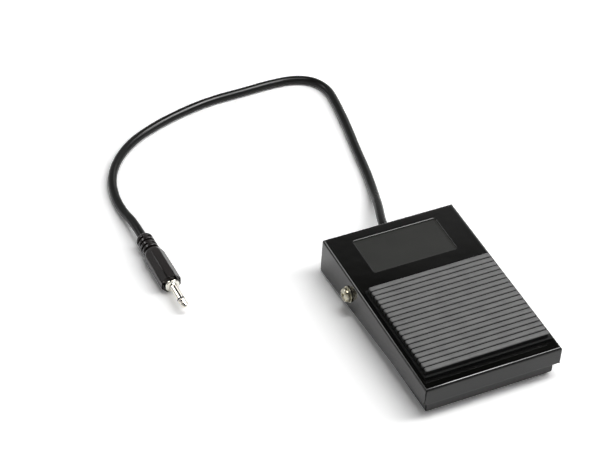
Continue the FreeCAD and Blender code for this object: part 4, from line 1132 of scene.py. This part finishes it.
@dataclass
class JackPlug(SubAssembly):
    """The moulded plug at the cord's end, which lies along -Y."""

    x: float = -94.1
    rear: float = 91.9
    z: float = 4.3
    relief_length: float = 10.3
    relief: float = 7.4
    relief_round: float = 1.2
    relief_end: tuple[Pair, ...] = ((0.0, 1.0), (0.12, 0.62), (0.35, 0.3), (1.0, 0.0))
    grooves: int = 4
    groove_pitch: float = 2.3
    groove_width: float = 1.0
    groove_depth: float = 1.1
    web: float = 1.7
    body_length: float = 21.0
    flats: float = 8.6
    faces: int = 8
    face_steps: int = 5
    body_edge: float = 0.9
    shoulder: float = 3.4
    nose: float = 0.35
    nose_middle: Pair = (0.3, 0.35)
    edge: float = 0.14
    fine_steps: int = 96
    overlap: float = 0.01
    collar: float = 6.2
    collar_length: float = 1.8
    collar_lead: Pair = (0.15, 0.1)
    collar_end: float = 0.25
    jack: float = 3.5
    sleeve_length: float = 8.8
    sleeve_fillet: float = 0.2
    sleeve_chamfer: float = 0.06
    ring_length: float = 0.8
    ring_inset: float = 0.03
    tip_length: float = 4.4
    tip_neck: float = 0.7
    tip_curve: tuple[Pair, ...] = (
        (1.2, 1.34), (1.5, 1.17), (1.68, 1.13), (1.85, 1.17), (2.2, 1.42), (2.5, 1.64), (2.6, 1.69),
        (2.72, 1.68), (3.4, 1.24), (4.0, 0.84), (4.25, 0.62))
    tip_point: float = 0.3

    def at(self, along: float) -> Triple:
        """A point on the plug's axis, from the cord's end."""
        return (self.x, self.rear - along, self.z)

    def lathe(self, profile: list[Pair], along: float, steps: int = 48) -> Solid:
        """A turned solid that starts at a distance along the plug's axis, towards the tip."""
        return Mesher.turned(profile, self.at(along), (0, -1, 0), steps)

    def corner(self) -> float:
        """How far the moulding's corners stand from its axis, unrounded."""
        return self.flats / 2 / math.cos(math.pi / self.faces)

    def octagon(self) -> list[Pair]:
        """The moulding's section, eight flats with rounded edges.

        Returns:
            (x, z) pairs.
        """
        half = math.pi / self.faces
        inner = self.corner() - self.body_edge / math.cos(half)
        points = []
        for k in range(self.faces):
            middle = half + k * 2 * half
            centre = Vector((math.cos(middle), math.sin(middle))) * inner
            for i in range(self.face_steps + 1):
                angle = middle + half * (2 * i / self.face_steps - 1)
                points.append((self.x + centre.x + self.body_edge * math.cos(angle),
                               self.z + centre.y + self.body_edge * math.sin(angle)))
        return points

    def moulding(self) -> Piece:
        """The eight-sided body and the grooved bend relief behind it.

        Returns:
            The object, in millimetres.
        """
        corner = self.corner()
        start = self.rear - self.relief_length
        rings = [[(x, y, z) for x, z in self.octagon()] for y in (start, start - self.body_length)]
        body = Mesher.piece("plug_moulding", Mesher.loop_solid(rings))
        half = self.relief / 2
        back, down = self.nose_middle
        envelope = [(-self.overlap, half), (self.shoulder, corner), (self.body_length - self.nose, corner),
                    (self.body_length - self.nose * back, corner - self.nose * down),
                    (self.body_length + self.overlap, corner - self.nose)]
        Mesher.combine(body, self.lathe(envelope, self.relief_length, self.fine_steps), "INTERSECT")
        inside = self.relief_length + self.shoulder
        drop = self.relief_round
        shape = [(drop * along, half - drop * depth) for along, depth in self.relief_end]
        tail = Mesher.piece("tail", self.lathe(shape + [(inside, half)], 0))
        self.groove_tail(tail)
        Mesher.combine(body, Mesher.solid(tail), "UNION")
        return body

    def groove_tail(self, tail: Piece) -> None:
        """Cut the bend relief's grooves, which leave webs by turns above and beside.

        Args:
            tail: the round tail.
        """
        for k in range(self.grooves):
            start = self.relief_round + self.groove_width + k * self.groove_pitch
            outside = [(0, self.relief), (self.groove_width, self.relief)]
            ring = Mesher.piece("ring", self.lathe(outside, start))
            depth = self.relief / 2 - self.groove_depth
            core = self.lathe([(-1, depth), (self.groove_width + 1, depth)], start)
            centre = self.at(start + self.groove_width / 2)
            wide, tall = (self.relief * 2, self.web) if k % 2 else (self.web, self.relief * 2)
            web = Mesher.block((centre[0] - wide / 2, centre[1] - self.groove_width, centre[2] - tall / 2),
                               (centre[0] + wide / 2, centre[1] + self.groove_width, centre[2] + tall / 2))
            Mesher.cut(ring, core, web)
            Mesher.cut(tail, Mesher.solid(ring))

    def build(self) -> list[Piece]:
        """Make the moulding, the sleeve with its collar, the ring and the tip.

        Returns:
            The pieces, which go with the cord.
        """
        body = self.settle(self.moulding(), "plug_moulding", "plug_body", edge=self.edge)
        face = self.relief_length + self.body_length
        collar, jack = self.collar / 2, self.jack / 2
        long = self.collar_length
        lead, lead_depth = self.collar_lead
        end, fillet, chamfer = self.collar_end, self.sleeve_fillet, self.sleeve_chamfer
        sleeve_end = long + self.sleeve_length
        sleeve = Mesher.piece("plug_barrel", self.lathe(
            [(0, collar - lead_depth), (lead, collar), (long - end, collar), (long, collar - end),
             (long, jack + fillet), (long + fillet, jack), (sleeve_end - chamfer, jack),
             (sleeve_end, jack - chamfer)], face))
        self.settle(sleeve, "plug_metal", "plug_sleeve")
        inset = self.ring_inset
        ring = Mesher.piece("plug_ring", self.lathe(
            [(0, jack - inset), (self.ring_length, jack - inset)], face + sleeve_end))
        self.settle(ring, "switch_plastic", "plug_insulator", edge=inset)
        tip = Mesher.piece("plug_point", self.lathe(self.tip_profile(), face + sleeve_end + self.ring_length))
        self.settle(tip, "plug_metal", "plug_tip")
        return [body, sleeve, ring, tip]

    def tip_profile(self) -> list[Pair]:
        """The tip from the ring to its point.

        Returns:
            (distance, radius) pairs.
        """
        full, chamfer = self.jack / 2, self.sleeve_chamfer
        start = [(0.0, full - chamfer), (chamfer, full), (self.tip_neck, full)]
        return [*start, *self.tip_curve, (self.tip_length, self.tip_point)]


@dataclass
class FreeCord(SubAssembly):
    """The cord from the strain relief to the plug."""

    diameter: float = 4.0
    measure_steps: int = 16
    route: tuple[Triple, ...] = (
        (2.6, 54.2, 8.5), (2.6, 56.6, 8.5), (7.7, 70.0, 6.2), (11.8, 82.0, 2.9), (15.6, 96.0, 2.0),
        (18.6, 113.0, 2.0), (22.3, 130.5, 2.0), (24.9, 146.5, 2.0), (26.4, 159.0, 2.0),
        (22.8, 168.0, 2.0), (14.2, 172.7, 2.0), (2.0, 173.5, 2.0), (-12.0, 172.8, 2.0),
        (-29.0, 172.5, 2.0), (-46.0, 169.0, 2.0), (-60.0, 164.4, 2.0), (-72.5, 158.5, 2.0),
        (-83.2, 149.5, 2.0), (-91.0, 138.0, 2.0), (-94.6, 124.5, 2.0), (-94.8, 113.0, 2.3),
        (-94.1, 103.5, 4.3), (-94.1, 91.9, 4.3))

    def length(self) -> float:
        """The line's length, worked out along its arcs.

        Returns:
            The length in millimetres.
        """
        places = [Vector(place) for place in self.route]
        joints = [(a + b) / 2 for a, b in zip(places[1:-1], places[2:-1])]
        starts = [places[0], *joints]
        ends = [*joints, places[-1]]
        total = 0.0
        for start, bend, end in zip(starts, places[1:-1], ends):
            points = Mesher.curve(start, bend, end, self.measure_steps)
            total += sum((after - before).length for before, after in zip(points, points[1:]))
        return total

    def build(self, others: list[Piece]) -> None:
        """Lay the cord as one smooth line.

        Args:
            others: the pieces on it; not used.
        """
        curve = bpy.data.curves.new("cord_line", "CURVE")
        curve.dimensions = "3D"
        curve.bevel_depth = self.diameter / 2 * MM
        curve.bevel_resolution = 8
        curve.resolution_u = 24
        curve.use_fill_caps = True
        spline = curve.splines.new("NURBS")
        spline.points.add(len(self.route) - 1)
        for point, place in zip(spline.points, self.route):
            point.co = (*(value * MM for value in place), 1)
        spline.order_u = 3
        spline.use_endpoint_u = True
        cord = bpy.data.objects.new("cord_line", curve)
        bpy.context.scene.collection.objects.link(cord)
        self.keep(cord, "cord_jacket", "cord")
        self.length() * MM


@dataclass
class CadPieces:
    """The CAD nodes whose shape is right, which only get a finish."""

    palette: Palette

    def build(self, record: dict) -> None:
        """Dress every node that still shows.

        Args:
            record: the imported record, whose subparts name each node's slot.
        """
        for subpart in record["subparts"]:
            name = subpart["node"]
            node = frame["nodes"][name]
            if node.hide_render:
                continue
            self.palette.dress(node, subpart["material_slot"])
            log.info("%s is the CAD node, in %s", name, subpart["material_slot"])


@dataclass
class Softbox:
    """One area lamp.

    Attributes:
        name: its name.
        place: where it hangs, in metres.
        target: what it points at, in metres.
        size: its width and height in metres.
        watts: its power.
        dull_too: whether it lights dull surfaces, or only shows in glossy ones.
    """

    name: str
    place: Triple
    target: Triple
    size: Pair
    watts: float
    dull_too: bool = True

    def build(self) -> None:
        """Hang the lamp."""
        lamp = bpy.data.lights.new(self.name, "AREA")
        lamp.shape = "RECTANGLE"
        lamp.size, lamp.size_y = self.size
        lamp.energy = self.watts
        holder = bpy.data.objects.new(self.name, lamp)
        holder.visible_diffuse = self.dull_too
        holder.location = self.place
        toward = Vector(self.target) - Vector(self.place)
        holder.rotation_euler = toward.to_track_quat("-Z", "Y").to_euler()
        bpy.context.scene.collection.objects.link(holder)


@dataclass
class Studio:
    """Camera, floor, world and lamps.

    Attributes:
        focal_px: the camera's focal length in the photograph's pixels.
        sensor: the sensor's width in millimetres.
        place: where the camera stands, in millimetres.
        azimuth: the camera's direction from the object, from the front to the left, in degrees.
        elevation: how high it looks from, in degrees.
        roll: how far it leans, in degrees.
        near_clip: the nearest that it sees, in metres.
        wall_level: how bright the room's pale walls are.
        ceiling_level: how bright the ceiling above them is.
        wall_top: where the walls fade into the ceiling, as the rise of the line of sight.
        floor_colour: how pale the floor is.
        floor_seen: how pale it is for the camera, reflections and clear pieces.
        floor_half: half the floor's width in metres.
        floor_fade: where the floor turns to plain white for them, in metres from the middle.
        lamps: the softboxes.
    """

    focal_px: float = 2121.70
    sensor: float = 36.0
    place: Triple = (-342.268, -547.813, 606.221)
    azimuth: float = -26.8055
    elevation: float = 41.0324
    roll: float = 2.6369
    near_clip: float = 0.01
    wall_level: float = 0.62
    ceiling_level: float = 0.0
    wall_top: Pair = (0.66, 0.712)
    floor_colour: float = 0.9
    floor_seen: float = 1.3
    floor_half: float = 2.5
    floor_fade: Pair = (0.35, 0.7)
    lamps: list[Softbox] = field(default_factory=lambda: [
        Softbox("overhead_box", (0.34, -0.1, 0.9), (0, 0, 0), (0.3, 1.2), 8.6),
        Softbox("bend_strip", (0.48, 0.04, 0.9), (0, 0, 0), (0.55, 0.3), 12.0, dull_too=False),
        Softbox("side_strip", (-0.53, 0.63, 0.58), (0, 0, 0), (0.24, 0.24), 1.3, dull_too=False),
        Softbox("right_box", (0.62, 0.66, 0.5), (0, 0, 0), (0.4, 0.4), 0.7),
    ])

    def camera(self) -> None:
        """Set the camera as the photograph was taken."""
        azimuth, elevation = math.radians(self.azimuth), math.radians(self.elevation)
        roll = math.radians(self.roll)
        back = Vector((math.sin(azimuth) * math.cos(elevation), -math.cos(azimuth) * math.cos(elevation),
                       math.sin(elevation)))
        right = Vector((math.cos(azimuth), math.sin(azimuth), 0))
        up = back.cross(right)
        across = right * math.cos(roll) + up * math.sin(roll)
        upright = up * math.cos(roll) - right * math.sin(roll)
        data = bpy.data.cameras.new("camera")
        data.sensor_fit = "HORIZONTAL"
        data.sensor_width = self.sensor
        data.lens = self.focal_px * self.sensor / PHOTO_WIDTH_PX
        data.clip_start = self.near_clip
        holder = bpy.data.objects.new("camera", data)
        turn = Matrix((across, upright, back)).transposed().to_4x4()
        holder.matrix_world = Matrix.Translation(Vector(self.place) * MM) @ turn
        bpy.context.scene.collection.objects.link(holder)
        bpy.context.scene.camera = holder

    def floor(self) -> None:
        """Lay the pale floor, which looks white to the camera and in reflections."""
        bm = bmesh.new()
        half = self.floor_half
        corners = ((-half, -half), (half, -half), (half, half), (-half, half))
        bm.faces.new([bm.verts.new((x, y, 0)) for x, y in corners])
        ground = Mesher.piece("floor", bm)
        material = bpy.data.materials.new("floor_paper")
        material.use_nodes = True
        nodes = Nodes(material.node_tree)
        path = nodes.add("ShaderNodeLightPath")
        seen = path.outputs["Is Camera Ray"]
        for kind in ("Is Glossy Ray", "Is Transmission Ray"):
            seen = nodes.add("ShaderNodeMath", seen, path.outputs[kind], operation="MAXIMUM").outputs[0]
        tone = nodes.span(seen, (0.0, self.floor_colour), (1.0, self.floor_seen))
        paper = nodes.add("ShaderNodeBsdfDiffuse", Color=tone).outputs["BSDF"]
        place = nodes.add("ShaderNodeTexCoord").outputs["Object"]
        reach = nodes.add("ShaderNodeVectorMath", place, operation="LENGTH").outputs["Value"]
        near, far = self.floor_fade
        fade = nodes.span(reach, (near, 0.0), (far, 1.0))
        share = nodes.add("ShaderNodeMath", fade, seen, operation="MULTIPLY").outputs[0]
        white = nodes.add("ShaderNodeEmission", Strength=1.0).outputs["Emission"]
        blend = nodes.add("ShaderNodeMixShader", share, paper, white)
        nodes.add("ShaderNodeOutputMaterial", Surface=blend.outputs["Shader"])
        ground.data.materials.append(material)

    def world(self) -> None:
        """Surround the object with pale walls under a dark ceiling, white where the camera sees past them."""
        world = bpy.data.worlds.new("room")
        world.use_nodes = True
        bpy.context.scene.world = world
        nodes = Nodes(world.node_tree)
        sight = nodes.add("ShaderNodeTexCoord").outputs["Generated"]
        rise = nodes.add("ShaderNodeSeparateXYZ", sight).outputs["Z"]
        low, high = self.wall_top
        level = nodes.span(rise, (low, self.wall_level), (high, self.ceiling_level))
        room = nodes.add("ShaderNodeBackground", Strength=level).outputs["Background"]
        white = nodes.add("ShaderNodeBackground", Strength=1.0).outputs["Background"]
        seen = nodes.add("ShaderNodeLightPath").outputs["Is Camera Ray"]
        blend = nodes.add("ShaderNodeMixShader", seen, room, white)
        nodes.add("ShaderNodeOutputWorld", Surface=blend.outputs["Shader"])

    def build(self) -> None:
        """Set up everything round the object."""
        self.camera()
        self.floor()
        self.world()
        for lamp in self.lamps:
            lamp.build()
        bpy.context.scene.view_settings.view_transform = "Standard"
        log.info("studio has %d lamps", len(self.lamps))


def main() -> None:
    """Build the scene round the frame."""
    logging.basicConfig(level=logging.INFO, format="%(name)s: %(message)s")
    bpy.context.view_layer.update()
    Studio().build()
    palette = Palette()
    relief = StrainRelief(palette).build()
    plug = JackPlug(palette).build()
    FreeCord(palette).build([relief, *plug])
    PedalCover(palette).build()
    LabelPlate(palette).build()
    TreadPad(palette).build()
    PivotHardware(palette).build()
    ReturnSpring(palette).build()
    CadPieces(palette).build(frame["record"])


if __name__ == "__main__":
    main()
